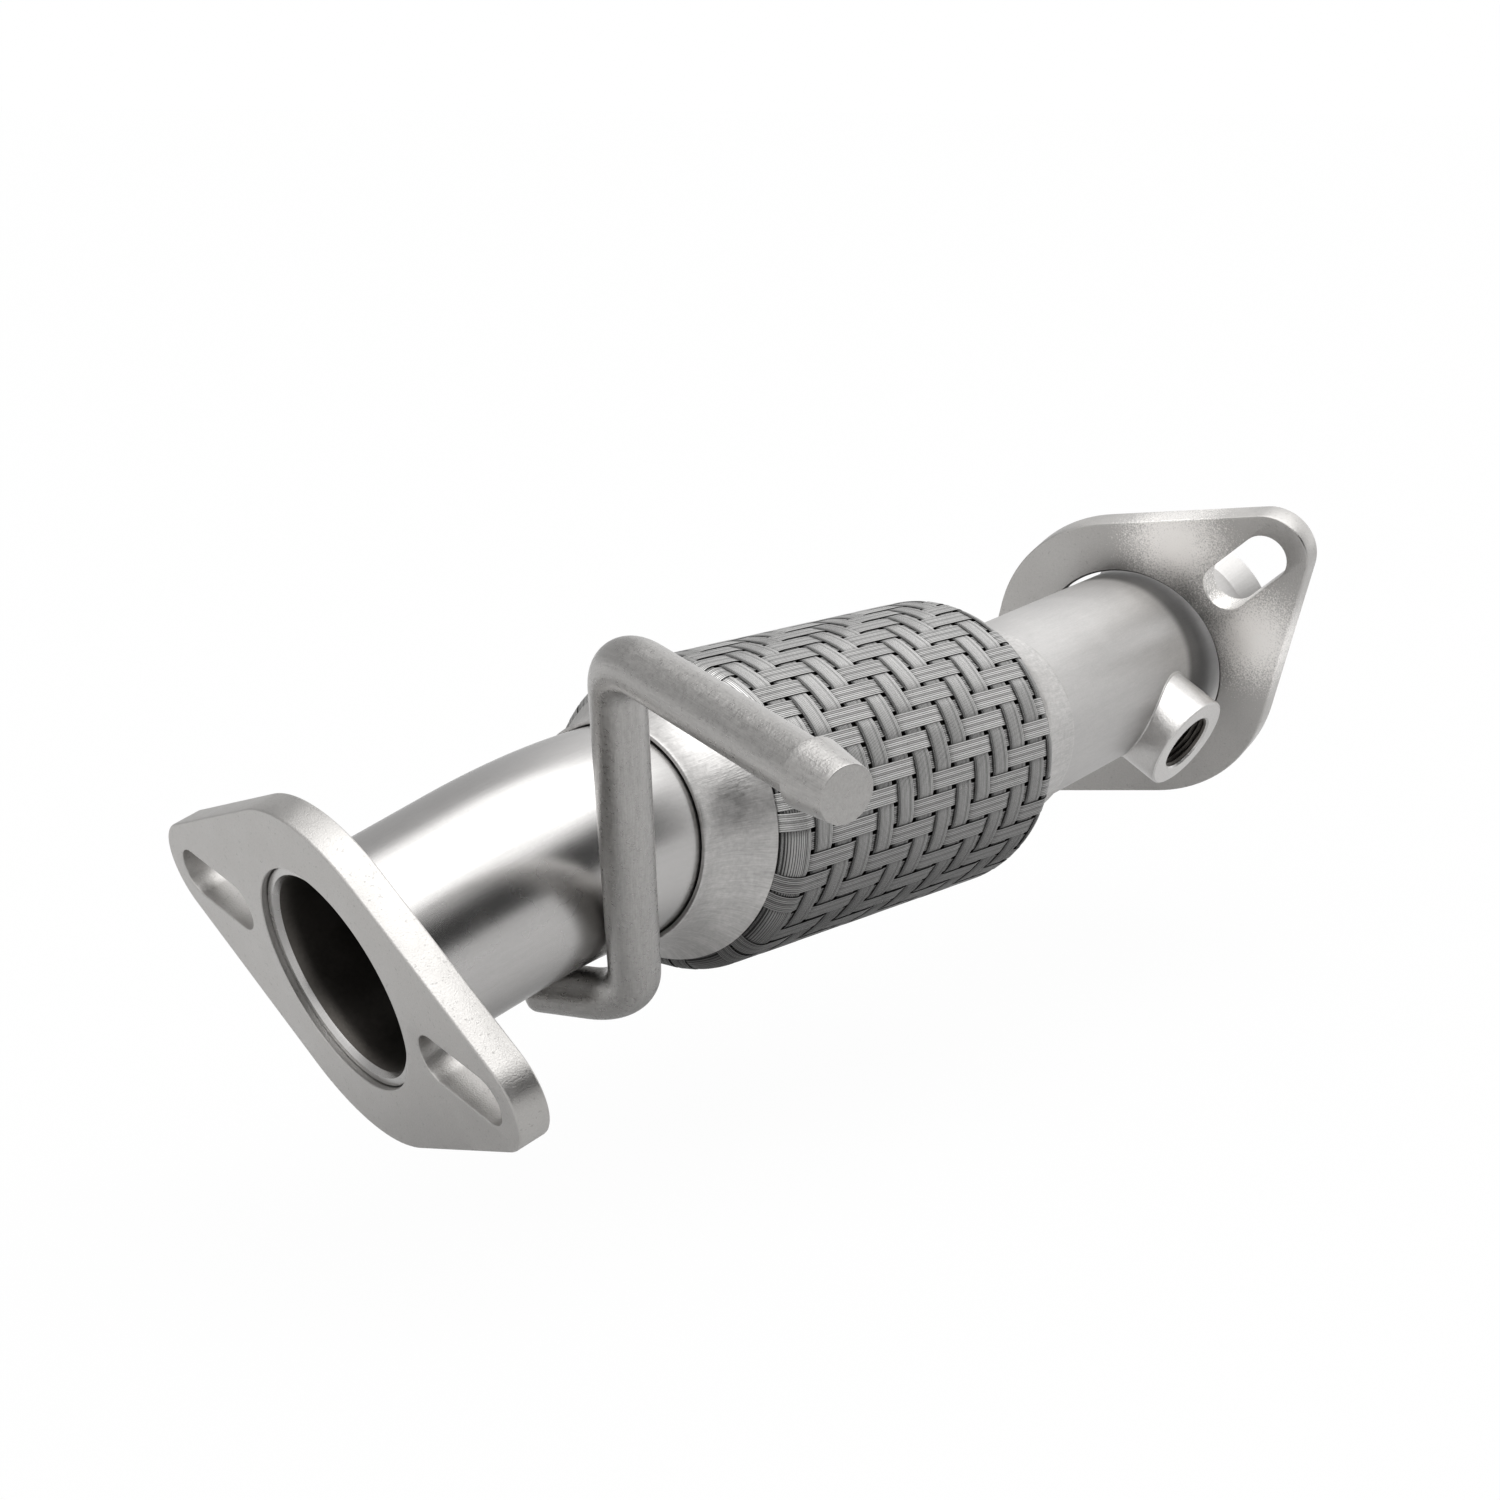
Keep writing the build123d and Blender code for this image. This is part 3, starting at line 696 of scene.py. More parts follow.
def wires_group():
    """Wire bundle: v counts wires across a ribbon. Each wire is light along its crest and
    dark in the gaps at whole numbers, and has a shade of its own; lift darkens a ribbon
    where it dips under its neighbours."""
    gap_end, crest_start, dipped, on_top = 0.1, 0.8, -0.9, 0.9
    shade_swing, shade_least = 0.6, 0.7
    group, source, sink = new_group(
        "Wire bundle",
        [
            ("UV", "NodeSocketVector", None),
            ("Lift", "NodeSocketFloat", 1.0),
            ("Gap shade", "NodeSocketFloat", 0.12),
            ("Dip shade", "NodeSocketFloat", 0.65),
        ],
        ("Height", "Tone"),
    )
    across = separated(group, source["UV"])["Y"]
    arch = maths(group, "ABSOLUTE", maths(group, "SINE", maths(group, "MULTIPLY", across, np.pi)))
    crest = eased(group, arch, gap_end, crest_start)
    own = group.nodes.new("ShaderNodeTexWhiteNoise")
    own.noise_dimensions = "1D"
    group.links.new(maths(group, "FLOOR", across), own.inputs["W"])
    shade = maths(group, "MULTIPLY_ADD", own.outputs["Value"], shade_swing, shade_least)
    depth = raised(group, eased(group, source["Lift"], dipped, on_top), source["Dip shade"])
    wire_tone = maths(group, "MULTIPLY", raised(group, crest, source["Gap shade"]), shade)
    group.links.new(crest, sink["Height"])
    group.links.new(maths(group, "MULTIPLY", wire_tone, depth), sink["Tone"])
    return group


def steel(name, base, finish):
    """Steel that reads the blasted group at the object's coordinates: tone on the colour,
    mottle on the roughness and grain on the bump, with the finish's own extras."""
    bump_reach, mottle_low, mottle_high = 0.0002, 0.3, 0.7
    material = bpy.data.materials.new(name)
    material.use_nodes = True
    tree = material.node_tree
    shader = tree.nodes["Principled BSDF"]
    shader.inputs["Metallic"].default_value = 1.0
    place = tree.nodes.new("ShaderNodeTexCoord").outputs["Object"]
    values = {
        "Vector": place,
        "Grain scale": finish["grain"],
        "Mottle scale": finish["mottle"],
        "Tone depth": finish["tone"],
        "Pit depth": finish.get("pits", 0.0),
    }
    blasted = placed_group(tree, "Blasted steel", values)
    tone, height = blasted["Tone"], blasted["Height"]
    if "strokes" in finish:
        tone, height = add_strokes(tree, tone, height, finish["strokes"])
    if "wires" in finish:
        tone, height = add_wires(tree, tone)
    # painted highlight patches
    for highlight_centre in finish.get("painted_highlights", ()):
        tone = add_painted_highlight(tree, tone, place, blasted["Height"], highlight_centre)
    # painted shade: a darker ring of the pipe near the loose flange
    if "end" in finish:
        tone = paint_flange_shade(tree, tone, *finish["end"])
    # painted shade: darker towards the underside
    if "underside_shade" in finish:
        tone = paint_underside_shade(tree, tone, place, *finish["underside_shade"])
    tint(tree, shader, base, tone)
    smoothest = finish["rough"] - finish["rough_swing"] / 2
    roughest = finish["rough"] + finish["rough_swing"] / 2
    spread = eased(tree, blasted["Mottle"], mottle_low, mottle_high, smoothest, roughest)
    tree.links.new(spread, shader.inputs["Roughness"])
    relief = tree.nodes.new("ShaderNodeBump")
    relief.inputs["Strength"].default_value = finish["bump"]
    relief.inputs["Distance"].default_value = bump_reach
    tree.links.new(height, relief.inputs["Height"])
    tree.links.new(relief.outputs["Normal"], shader.inputs["Normal"])
    return material


def tint(tree, shader, base, tone):
    """Base colour times a tone that changes over the surface."""
    scaled = tree.nodes.new("ShaderNodeVectorMath")
    scaled.operation = "SCALE"
    scaled.inputs[0].default_value = tuple(base)
    tree.links.new(tone, scaled.inputs["Scale"])
    tree.links.new(scaled.outputs["Vector"], shader.inputs["Base Color"])


def add_strokes(tree, tone, height, depth):
    """Brush strokes over a finish's own tone and height."""
    strokes = placed_group(tree, "Brush strokes", {"UV": own_uv(tree), "Tone depth": depth})
    both = maths(tree, "MULTIPLY", tone, strokes["Tone"])
    return both, maths(tree, "ADD", height, strokes["Height"])


def add_painted_highlight(tree, tone, place, grain, centre, reach=0.021, gain=1.3):
    """Paints a highlight: lightens a patch, and the gain falls from its core to the reach, with a border
    that the grain makes ragged."""
    core, raggedness = 0.2 * reach, 1.6 * reach
    node = tree.nodes.new("ShaderNodeVectorMath")
    node.operation = "DISTANCE"
    node.inputs[1].default_value = centre
    tree.links.new(place, node.inputs[0])
    centred = maths(tree, "SUBTRACT", grain, 0.5)
    distance = maths(tree, "MULTIPLY_ADD", centred, raggedness, node.outputs["Value"])
    return maths(tree, "ADD", tone, eased(tree, distance, core, reach, gain, 0.0))


def paint_flange_shade(tree, tone, start, full, past, share):
    """Paints shade: darkens a ring of a pipe where a flange shades it, down to a share of its tone: from
    start to full distance along it, and back to its own tone past it."""
    along = separated(tree, own_uv(tree))["X"]
    darker, own = eased(tree, along, start, full), eased(tree, along, past, 2 * past - full)
    ring = maths(tree, "SUBTRACT", darker, own)
    kept = maths(tree, "MULTIPLY_ADD", ring, share - 1, 1.0)
    return maths(tree, "MULTIPLY", tone, kept)


def paint_underside_shade(tree, tone, place, clean, full, share):
    """Paints shade: darkens a piece towards its underside, where shade falls, down to a share of its
    tone: from the unshaded height to the full one."""
    underside_shade = eased(tree, separated(tree, place)["Z"], full, clean)
    return maths(tree, "MULTIPLY", tone, raised(tree, underside_shade, share))


def add_wires(tree, tone):
    """Wires of a ribbon over a finish's own tone, with their height in place of its own."""
    lift = tree.nodes.new("ShaderNodeAttribute")
    lift.attribute_name = "Lift"
    wires = placed_group(tree, "Wire bundle", {"UV": own_uv(tree), "Lift": lift.outputs["Fac"]})
    return maths(tree, "MULTIPLY", tone, wires["Tone"]), wires["Height"]


# Each finish: its colour, its roughness and how far that swings, the scales of its grain and its
# mottling, the depth of its tone and its bump, and the extras that it has. An end is a painted shade ring
# where the pipe runs into the loose flange: where it starts, is full and goes back, and its share of the
# tone; an underside shade is painted shade towards the bottom: its unshaded height, its full height and
# its share; painted highlights are the places of painted highlight patches.
FINISHES = {
    "Pipe steel": {
        "base": "pipe",
        "rough": 0.26,
        "rough_swing": 0.04,
        "grain": 1500.0,
        "mottle": 30.0,
        "tone": 0.25,
        "bump": 0.01,
        "strokes": 0.25,
    },
    "Satin steel": {
        "base": "pipe",
        "rough": 0.46,
        "rough_swing": 0.06,
        "grain": 1500.0,
        "mottle": 60.0,
        "tone": 0.4,
        "bump": 0.03,
        "strokes": 0.35,
        # painted shade: a darker ring where the pipe runs into the loose flange
        "end": (0.103, 0.109, 0.127, 0.34),
    },
    "Cap steel": {
        "base": "cap",
        "rough": 0.4,
        "rough_swing": 0.14,
        "grain": 900.0,
        "mottle": 110.0,
        "tone": 0.9,
        "bump": 0.3,
        "strokes": 1.0,
    },
    "Plate steel": {
        "base": "plate",
        "rough": 0.4,
        "rough_swing": 0.14,
        "grain": 2400.0,
        "mottle": 70.0,
        "tone": 0.5,
        "pits": 0.2,
        "bump": 0.4,
    },
    "Worn plate steel": {
        "base": "plate",
        "rough": 0.4,
        "rough_swing": 0.24,
        "grain": 2200.0,
        "mottle": 60.0,
        "tone": 0.6,
        "pits": 0.15,
        "bump": 0.45,
        # painted highlights: two lighter patches on the loose flange's face
        "painted_highlights": ((0.3317, -0.0235, 0.0612), (0.341, -0.0444, 0.0349)),
    },
    "Rod steel": {
        "base": "rod",
        "rough": 0.31,
        "rough_swing": 0.1,
        "grain": 1800.0,
        "mottle": 700.0,
        "tone": 0.6,
        "bump": 0.4,
        "strokes": 0.7,
    },
    "Bung steel": {
        "base": "bung",
        "rough": 0.36,
        "rough_swing": 0.12,
        "grain": 1800.0,
        "mottle": 700.0,
        "tone": 0.6,
        "bump": 0.35,
    },
    "Braid steel": {
        "base": "braid",
        "rough": 0.32,
        "rough_swing": 0.1,
        "grain": 1800.0,
        "mottle": 70.0,
        "tone": 0.9,
        "bump": 0.45,
        "wires": True,
        # painted shade: the braid darkens towards its underside
        "underside_shade": (0.034, -0.01, 0.36),
    },
    # painted shade: a dark steel that stands in for the shade inside bores and the sleeve
    "Inner steel": {
        "base": "inner",
        "rough": 0.45,
        "rough_swing": 0.1,
        "grain": 900.0,
        "mottle": 60.0,
        "tone": 0.8,
        "bump": 0.1,
    },
}


class PIPE_OT_steels(bpy.types.Operator):
    """Builds the shared node groups and the steels"""

    bl_idname = "pipe.steels"
    bl_label = "Steels"

    def execute(self, context):
        colours = settings("steel_colours")
        blasted_group()
        strokes_group()
        wires_group()
        for name, finish in FINISHES.items():
            steel(name, getattr(colours, finish["base"]), finish)
        return {"FINISHED"}


def arc_loop(centres, radii, starts, ends, steps):
    """Loop of arcs joined by tangent lines, as centres, radii and directions: each point
    is its arc's centre plus (its radius less an inset) times its direction."""
    t = np.linspace(0, 1, steps)
    turn = between(np.array(starts)[:, None], np.array(ends)[:, None], t)
    direction = np.stack([np.cos(turn), np.sin(turn)], -1).reshape(-1, 2)
    return np.repeat(centres, steps, axis=0), np.repeat(radii, steps), direction


def outline_loop(plate, steps=24):
    """Outline of a flange: a lobe and two ears joined by their common tangents, which
    touch where cos(turn) is the difference of the radii over the ear's distance."""
    lean = np.arccos((plate.lobe - plate.ear) / plate.ear_place)
    centres = np.array([[plate.ear_place, 0], [0, 0], [-plate.ear_place, 0], [0, 0]])
    radii = [plate.ear, plate.lobe, plate.ear, plate.lobe]
    starts = [-lean, lean, np.pi - lean, np.pi + lean]
    ends = [lean, np.pi - lean, np.pi + lean, 2 * np.pi - lean]
    return arc_loop(centres, radii, starts, ends, steps)


def slot_loop(plate, side, steps=20):
    """Outline of a slot: two half circles joined by straight sides."""
    middle, reach, quarter = side * plate.slot_place, plate.slot_reach / 2, np.pi / 2
    centres = np.array([[middle + reach, 0], [middle - reach, 0]])
    radii = [plate.slot_radius] * 2
    return arc_loop(centres, radii, [-quarter, quarter], [quarter, 3 * quarter], steps)


def circle_loop(steps=96):
    """Circle about the origin whose radius is given by the insets alone."""
    turn = np.linspace(0, 2 * np.pi, steps, endpoint=False)
    direction = np.stack([np.cos(turn), np.sin(turn)], -1)
    return np.zeros((steps, 2)), np.zeros(steps), direction


def wall_of(loop, profile):
    """Wall along a loop: each row of the profile gives an inset and a height."""
    centres, radii, direction = loop
    inset, height = profile[:, 0, None, None], profile[:, 1, None, None]
    flat = centres + (radii[:, None] - inset) * direction
    return np.concatenate([flat, np.broadcast_to(height, (*flat.shape[:2], 1))], axis=2)


def edge_profile(thickness, edge, grows):
    """Straight wall with a rounded edge at both faces: inset edge (1 - sin t) at a depth
    of edge (1 - cos t), where an inset on a hole grows it."""
    t = np.linspace(0, np.pi / 2, 4)
    inset, depth = edge * (1 - np.sin(t)), edge * (1 - np.cos(t))
    inset = np.concatenate([inset, inset[::-1]]) * (-1 if grows else 1)
    height = np.concatenate([depth, thickness - depth[::-1]])
    return np.stack([inset, height], 1)


def bore_profile(steps):
    """Wall of the round hole from steps of (radius, height), as insets below nothing."""
    steps = np.array(steps)
    return np.stack([-steps[:, 0], steps[:, 1]], 1)


def plate_piece(name, walls, origin, axes):
    """Flange from its walls, whose first is the outline: each wall is a grid, and a flat
    face with holes joins their first rows and another their last rows."""
    points, smooth, fronts, backs, start = [], [], [], [], 0
    for wall in walls:
        rows, columns = wall.shape[:2]
        row, column = grid_corners(rows, columns, wrap_rows=False)
        corners = start + row * columns + column % columns
        smooth.append(corners if wall is walls[0] else corners[:, ::-1])
        fronts.append(start + np.arange(columns))
        backs.append(start + (rows - 1) * columns + np.arange(columns))
        points.append(wall.reshape(-1, 3))
        start += rows * columns
    points = np.concatenate(points)
    front, back = face_with_holes(points, fronts), face_with_holes(points, backs)[:, ::-1]
    placed = origin + points @ axes
    return mesh_piece(name, placed, smooth, [front, back])


def face_with_holes(points, loops):
    """Triangles of a flat face between its outline and its holes, all turned the way
    that faces down."""
    order = np.concatenate(loops)
    found = tessellate_polygon([[Vector(points[index]) for index in loop] for loop in loops])
    corners = order[np.array(found)]
    edges = points[corners[:, 1:]] - points[corners[:, :1]]
    up = np.cross(edges[:, 0], edges[:, 1])[:, 2] > 0
    corners[up] = corners[up][:, ::-1]
    return corners


def face_axes(way, turn):
    """Rows of a flange's axes: X across the way, turned from the level line, and Z along
    the way."""
    axes = axes_along(way)
    across = ring_way(turn, axes[1], axes[2])
    return np.array([across, np.cross(way, across), way])


class PIPE_OT_plates(bpy.types.Operator):
    """Builds the two slotted flanges"""

    bl_idname = "pipe.plates"
    bl_label = "Flanges"

    def execute(self, context):
        layout = Layout()
        self.inlet(settings("inlet_plate"), settings("tube_sizes"), layout)
        self.outlet(settings("outlet_plate"), settings("tube_sizes"), layout)
        return {"FINISHED"}

    def inlet(self, plate, tube, layout):
        """Flange with a recess for the lip in front of its bore."""
        recess, bore = tube.radius + tube.lip_step + plate.recess_gap, tube.radius + plate.bore_gap
        depth, edge = tube.lip_depth + tube.wall, plate.edge / 3
        hole = [
            (recess + edge, 0),
            (recess, edge),
            (recess, depth),
            (bore, depth),
            (bore, plate.thickness - edge),
            (bore + edge, plate.thickness),
        ]
        axes = face_axes(layout.inlet_way, plate.turn)
        piece = plate_piece("inlet_plate", self.walls(plate, hole), np.zeros(3), axes)
        stand_in(piece, "inlet_flange", INLET_SIDE, "Plate steel")

    def outlet(self, plate, tube, layout):
        """Loose flange, which hangs a little below the pipe's axis and leans."""
        bore, edge = tube.radius + plate.hole_gap, plate.edge
        hole = [
            (bore + edge, 0),
            (bore, edge),
            (bore, plate.thickness - edge),
            (bore + edge, plate.thickness),
        ]
        pipe = axes_along(layout.outlet_way)
        hang = pipe[1] * plate.side + pipe[2] * plate.drop
        origin = layout.kink + layout.outlet_way * plate.station - hang
        axes = face_axes(heading(plate.azimuth, plate.rise), plate.turn)
        piece = plate_piece("outlet_plate", self.walls(plate, hole), origin, axes)
        stand_in(piece, "outlet_flange", LOOSE_FLANGE, "Worn plate steel")

    def walls(self, plate, hole):
        """Walls of a flange: its outline, its two slots and its round hole."""
        outside = edge_profile(plate.thickness, plate.edge, grows=False)
        slot = edge_profile(plate.thickness, plate.edge / 2, grows=True)
        return [
            wall_of(outline_loop(plate), outside),
            wall_of(slot_loop(plate, 1), slot),
            wall_of(slot_loop(plate, -1), slot),
            wall_of(circle_loop(), bore_profile(hole)),
        ]


def inlet_route(tube, layout):
    """Centreline of the inlet pipe: straight, the bend, and straight into the cap."""
    end = layout.neck + layout.flex_way * tube.in_neck
    return Route([np.zeros(3), layout.corner, end], [tube.bend_radius])


class PIPE_OT_tubes(bpy.types.Operator):
    """Builds the bent inlet pipe and the straight outlet pipe"""

    bl_idname = "pipe.tubes"
    bl_label = "Pipes"

    def execute(self, context):
        layout = Layout()
        self.inlet(settings("tube_sizes"), layout)
        self.outlet(settings("tube_sizes"), settings("bung_sizes"), layout)
        return {"FINISHED"}

    def inlet(self, tube, layout):
        """Bent tube with painted shade on its bore: the dark steel that stands in for the shade inside it
        starts at a share of the wall's depth."""
        spacing, sides, bore_share = 0.0025, 160, 0.7
        route = inlet_route(tube, layout)
        outline = finely(self.lip_outline(tube, route.length), spacing)
        piece = grid_piece("bent_tube", carried(route, outline, sides), wrap_rows=True)
        stand_in(piece, "inlet_pipe", INLET_SIDE, "Pipe steel")
        deep = outline[:, 1] < tube.radius - tube.wall * bore_share
        paint_shade_inside(piece, np.repeat(deep, sides))

    def lip_outline(self, tube, length, roll_steps=8):
        """Closed outline (s, r) of the tube: along the bore to the mouth, which is rolled
        out on an arc tangent to the bore, round the lip, and back along the outside."""
        bore, mouth = tube.radius - tube.wall, tube.radius - tube.seam
        lip, back = tube.radius + tube.lip_step, tube.lip_depth + tube.wall
        start = back + tube.lip_roll
        run = start - tube.lip_depth
        s = np.linspace(0, run, roll_steps)
        arc = np.stack([start - s, bore + arc_rise(tangent_arc(run, mouth - bore), s)], 1)
        corners = [
            arc[-1],
            (tube.lip_depth, lip),
            (back, lip),
            (back, tube.radius),
            (length, tube.radius),
            (length, bore),
            (start, bore),
        ]
        radii = [tube.edge, tube.edge, tube.edge * 0.1, tube.edge, tube.edge]
        return np.concatenate([arc, rounded(corners, radii, 4, closed=False)])

    def outlet(self, tube, bung, layout):
        """Straight tube with a flared end and a hole under the sensor bung."""
        start = settings("flex_sizes").kink_to_neck - tube.in_neck
        begin = layout.kink + layout.outlet_way * start
        route = Route([begin, layout.kink + layout.outlet_way * tube.outlet_length])
        hole = bung.station - start - tube.radius * np.tan(bung.tilt)
        line, hole_row = self.flared_line(tube, tube.outlet_length - start, hole)
        way = route.at(np.zeros(1))[1][0] @ bung_frame(bung, layout)[1][2]
        toward = np.arctan2(way[2], way[1])
        points, faces, uv = holed_sheet(route, line, tube.wall, hole_row, toward, bung.bore)
        piece = mesh_piece("straight_tube", points, faces, uv=uv)
        stand_in(piece, "outlet_pipe", OUTLET_SIDE, "Satin steel")
        # painted shade: the inner wall gets the dark steel that stands in for the shade inside the pipe
        paint_shade_inside(piece, np.arange(2 * len(faces[0])) >= len(faces[0]))

    def flared_line(self, tube, length, hole, bend_steps=8):
        """Middle line (s, r) of the sheet and the row of its point at the hole: level, a
        bend, and a flare that rises as far as it runs, cut square to itself at its end."""
        middle, spacing, slope = tube.radius - tube.wall / 2, tube.wall / 2, np.pi / 4
        flare = length - tube.flare_step
        before = hole - spacing * np.arange(int(hole / spacing) - 1, 0, -1)
        after = np.arange(hole, flare - tube.wall, spacing)
        s = np.concatenate([[0], before, after])
        level = np.stack([s, np.full(len(s), middle)], 1)
        tip = np.array([length, middle + tube.flare_step])
        bend = rounded([level[-1], (flare, middle), tip], tube.wall, bend_steps, closed=False)
        end = tip + tube.wall / 2 * np.array([np.sin(slope), -np.cos(slope)])
        return np.concatenate([level, bend, end[None]]), len(before) + 1


def bung_frame(bung, layout):
    """Foot on the pipe's axis, and rows of the bung's axes: X is square to the pipe, Y
    lies as near as it can along it, and Z is the bung's own way."""
    pipe = axes_along(layout.outlet_way)
    side = -pipe[1] * np.cos(bung.down) - pipe[2] * np.sin(bung.down)
    way = side * np.cos(bung.tilt) - layout.outlet_way * np.sin(bung.tilt)
    across = unit(np.cross(layout.outlet_way, way))
    foot = layout.kink + layout.outlet_way * bung.station
    return foot, np.array([across, np.cross(way, across), way])


def holed_sheet(route, line, wall, centre_row, toward, bore, sides=144):
    """Points, faces and uv of a turned sheet with a round hole, from its middle line
    (s, r). Both walls are grids half a wall to either side of the line. Round the hole's
    centre a grid point has a square distance c, the larger of its rows and its columns
    over those of a square patch. At c = 1 it goes to the circle, at c = 2 it stays where
    it is, and between them it moves evenly. The faces inside c = 1 are left out, and
    strips join the two walls round the hole and at both ends."""
    rows, step, patch = len(line), 2 * np.pi / sides, 0.75 * bore
    ahead = np.gradient(line, axis=0)
    normal = np.stack([-ahead[:, 1], ahead[:, 0]], 1) / np.linalg.norm(ahead, axis=1)[:, None]
    near = (np.arange(sides) + sides // 2) % sides - sides // 2
    centre = line[centre_row, 0]
    half_rows = int(patch / (line[centre_row + 1, 0] - centre))
    half_columns = int(patch / (line[centre_row, 1] * step))
    row_share = np.abs(np.arange(rows) - centre_row) / half_rows
    c = np.maximum(row_share[:, None], np.abs(near)[None] / half_columns)
    shells = [line + normal * wall * side for side in (0.5, -0.5)]
    walls = [pulled_wall(route, shell, c, near * step, centre, toward, bore) for shell in shells]
    row, column = grid_corners(rows, sides, wrap_rows=False)
    corners = row * sides + column % sides
    chosen = (c.ravel()[corners] > 1 + 1e-6).any(axis=1)
    kept = corners[chosen]
    girth = line[:, 1].max() * step
    pairs = np.stack([line[row[chosen], 0], column[chosen] * girth], -1)
    i, j = square_ring(half_rows, half_columns)
    inner, first = rows * sides, np.arange(sides)
    hole = (centre_row + i) * sides + j % sides
    strips = [joining_strip(loop, inner) for loop in (hole, first, first[::-1] + inner - sides)]
    uv = [pairs, pairs[:, ::-1], *(np.zeros((*strip.shape, 2)) for strip in strips)]
    return np.concatenate(walls), [kept, kept[:, ::-1] + inner, *strips], uv


def pulled_wall(route, shell, c, turn, centre, toward, bore):
    """Points of one wall of a holed sheet. With p along the pipe and q across it from the
    hole's centre, both grow by bore over their distance at c = 1, by 1 from c = 2 on and
    evenly between them."""
    r = shell[:, 1:]
    p = shell[:, :1] - centre + np.zeros(len(turn))
    q = r * np.sin(turn)
    share = np.clip(c - 1, 0, 1)
    least = bore / 99
    pull = between(bore / np.maximum(np.hypot(p, q), least), 1, share)
    around = np.where(c < 2, np.arcsin(np.clip(q * pull / r, -1, 1)), turn) + toward
    places, frames = route.at((p * pull + centre).ravel())
    ring = ring_way(around.ravel()[:, None], frames[:, 1], frames[:, 2])
    return places + ring * np.repeat(r, len(turn))[:, None]


def square_ring(half_rows, half_columns):
    """Rows and columns of the points round a square patch, counted from its centre."""
    up, right = np.arange(-half_rows, half_rows), np.arange(-half_columns, half_columns)
    rows = [np.full(2 * half_columns, half_rows), -up, np.full(2 * half_columns, -half_rows), up]
    columns = [right, np.full(2 * half_rows, half_columns), -right, np.full(2 * half_rows, -half_columns)]
    return np.concatenate(rows), np.concatenate(columns)


def joining_strip(loop, inner):
    """Faces from a loop of the outer wall's points to the same loop of the inner wall."""
    ahead = np.roll(loop, -1)
    return np.stack([ahead, loop, loop + inner, ahead + inner], 1)


def horn_outline(size, run_length, arc_steps=28):
    """Closed outline (s, r) of a cap: a straight neck, then for both of its walls the arc
    r = neck + R - sqrt(R^2 - d^2), with d the distance past the neck, up to the rim."""
    run = run_length - size.cap_neck
    bore = settings("tube_sizes").radius + size.cap_fit
    outer, edge = bore + size.cap_sheet, size.cap_sheet * 0.3
    arc = tangent_arc(run, size.cap_rim - outer)
    d = np.linspace(0, run, arc_steps)
    outside = np.stack([size.cap_neck + d, outer + arc_rise(arc, d)], 1)
    inside = np.stack([size.cap_neck + d, bore + arc_rise(arc + size.cap_sheet, d)], 1)
    neck = rounded([outside[0], (0, outer), (0, bore), inside[0]], edge, 4, closed=False)
    rim = rounded([outside[-2], outside[-1], inside[-1], inside[-2]], edge, 4, closed=False)
    return np.concatenate([outside[:-1], rim, inside[-2::-1], neck[::-1]])


class PIPE_OT_caps(bpy.types.Operator):
    """Builds the two spun caps"""

    bl_idname = "pipe.caps"
    bl_label = "Caps"

    def execute(self, context):
        flex, layout = settings("flex_sizes"), Layout()
        end = layout.neck + layout.flex_way * flex.cap_length
        self.cap("inlet_horn", Route([layout.neck, end]), "inlet_cap", INLET_SIDE)
        sleeve = flex.cap_length + 2 * flex.braid_fit + flex.braid_length
        rim = layout.neck + layout.flex_way * sleeve
        half_turn = np.arccos(layout.outlet_way @ layout.flex_way) / 2
        ease = flex.kink_ease / np.tan(half_turn)
        axis = Route([layout.outlet_neck, layout.kink, rim], [ease])
        self.cap("outlet_horn", axis, "outlet_cap", OUTLET_SIDE)
        return {"FINISHED"}

    def cap(self, name, route, node, body, spacing=0.0012, sides=144):
        """Horn carried along its axis from the neck to the rim."""
        outline = finely(horn_outline(settings("flex_sizes"), route.length), spacing)
        piece = grid_piece(name, carried(route, outline, sides), wrap_rows=True)
        stand_in(piece, node, body, "Cap steel")


def braid_radius(x, flex):
    """Outer radius at x from the inlet rim: level in the middle, and at both ends the
    quarter round of the shoulder, centre radius + sqrt(R^2 - distance^2)."""
    centre = flex.braid_radius - flex.shoulder
    end = flex.cap_rim - flex.cap_sheet - flex.braid_fit
    reach = np.sqrt(flex.shoulder**2 - (end - centre) ** 2)
    inset = np.clip(np.minimum(x, flex.braid_length - x), 0, reach)
    return centre + np.sqrt(flex.shoulder**2 - (reach - inset) ** 2)


def braid_normal(x, flex):
    """Direction (x, r) square to the sleeve's profile, from its slope."""
    step = flex.shoulder / 200
    slope = (braid_radius(x + step, flex) - braid_radius(x - step, flex)) / (2 * step)
    scale = np.sqrt(1 + slope**2)
    return np.stack([-slope / scale, 1 / scale], -1)


def weave_height(place, own, steepness=5.0):
    """Rise of a ribbon between -1 and 1 at a place counted in crossings: +1 over the two
    crossings where it lies on top and -1 over the two where it dips, joined by a steep
    tanh of the sine between them."""
    phase = (place + own + 0.5) * np.pi / 2
    return np.tanh(steepness * np.sin(phase)) / np.tanh(steepness)


def ribbon_section(width, thick, relief, wires):
    """Closed section of a ribbon as (across, out): wires in relief on top, with a peak at
    each wire and a valley between wires, and a flat back."""
    steps = np.arange(2 * wires + 1)
    across = (steps / (2 * wires) - 0.5) * width
    out = thick / 2 - relief * (1 - steps % 2)
    back = np.array([[width / 2, -thick / 2], [-width / 2, -thick / 2]])
    return np.concatenate([np.stack([across, out], 1), back])


def woven(flex, rise, section):
    """Height of each point of the ribbons' sections over the sleeve's surface: the middle
    of a ribbon lies below it by half the weave, and the weave height moves it."""
    depth = (rise - 1) * flex.ribbon_swing - flex.ribbon_thick / 2
    return depth[:, :, None] + section[None, None, :, 1]


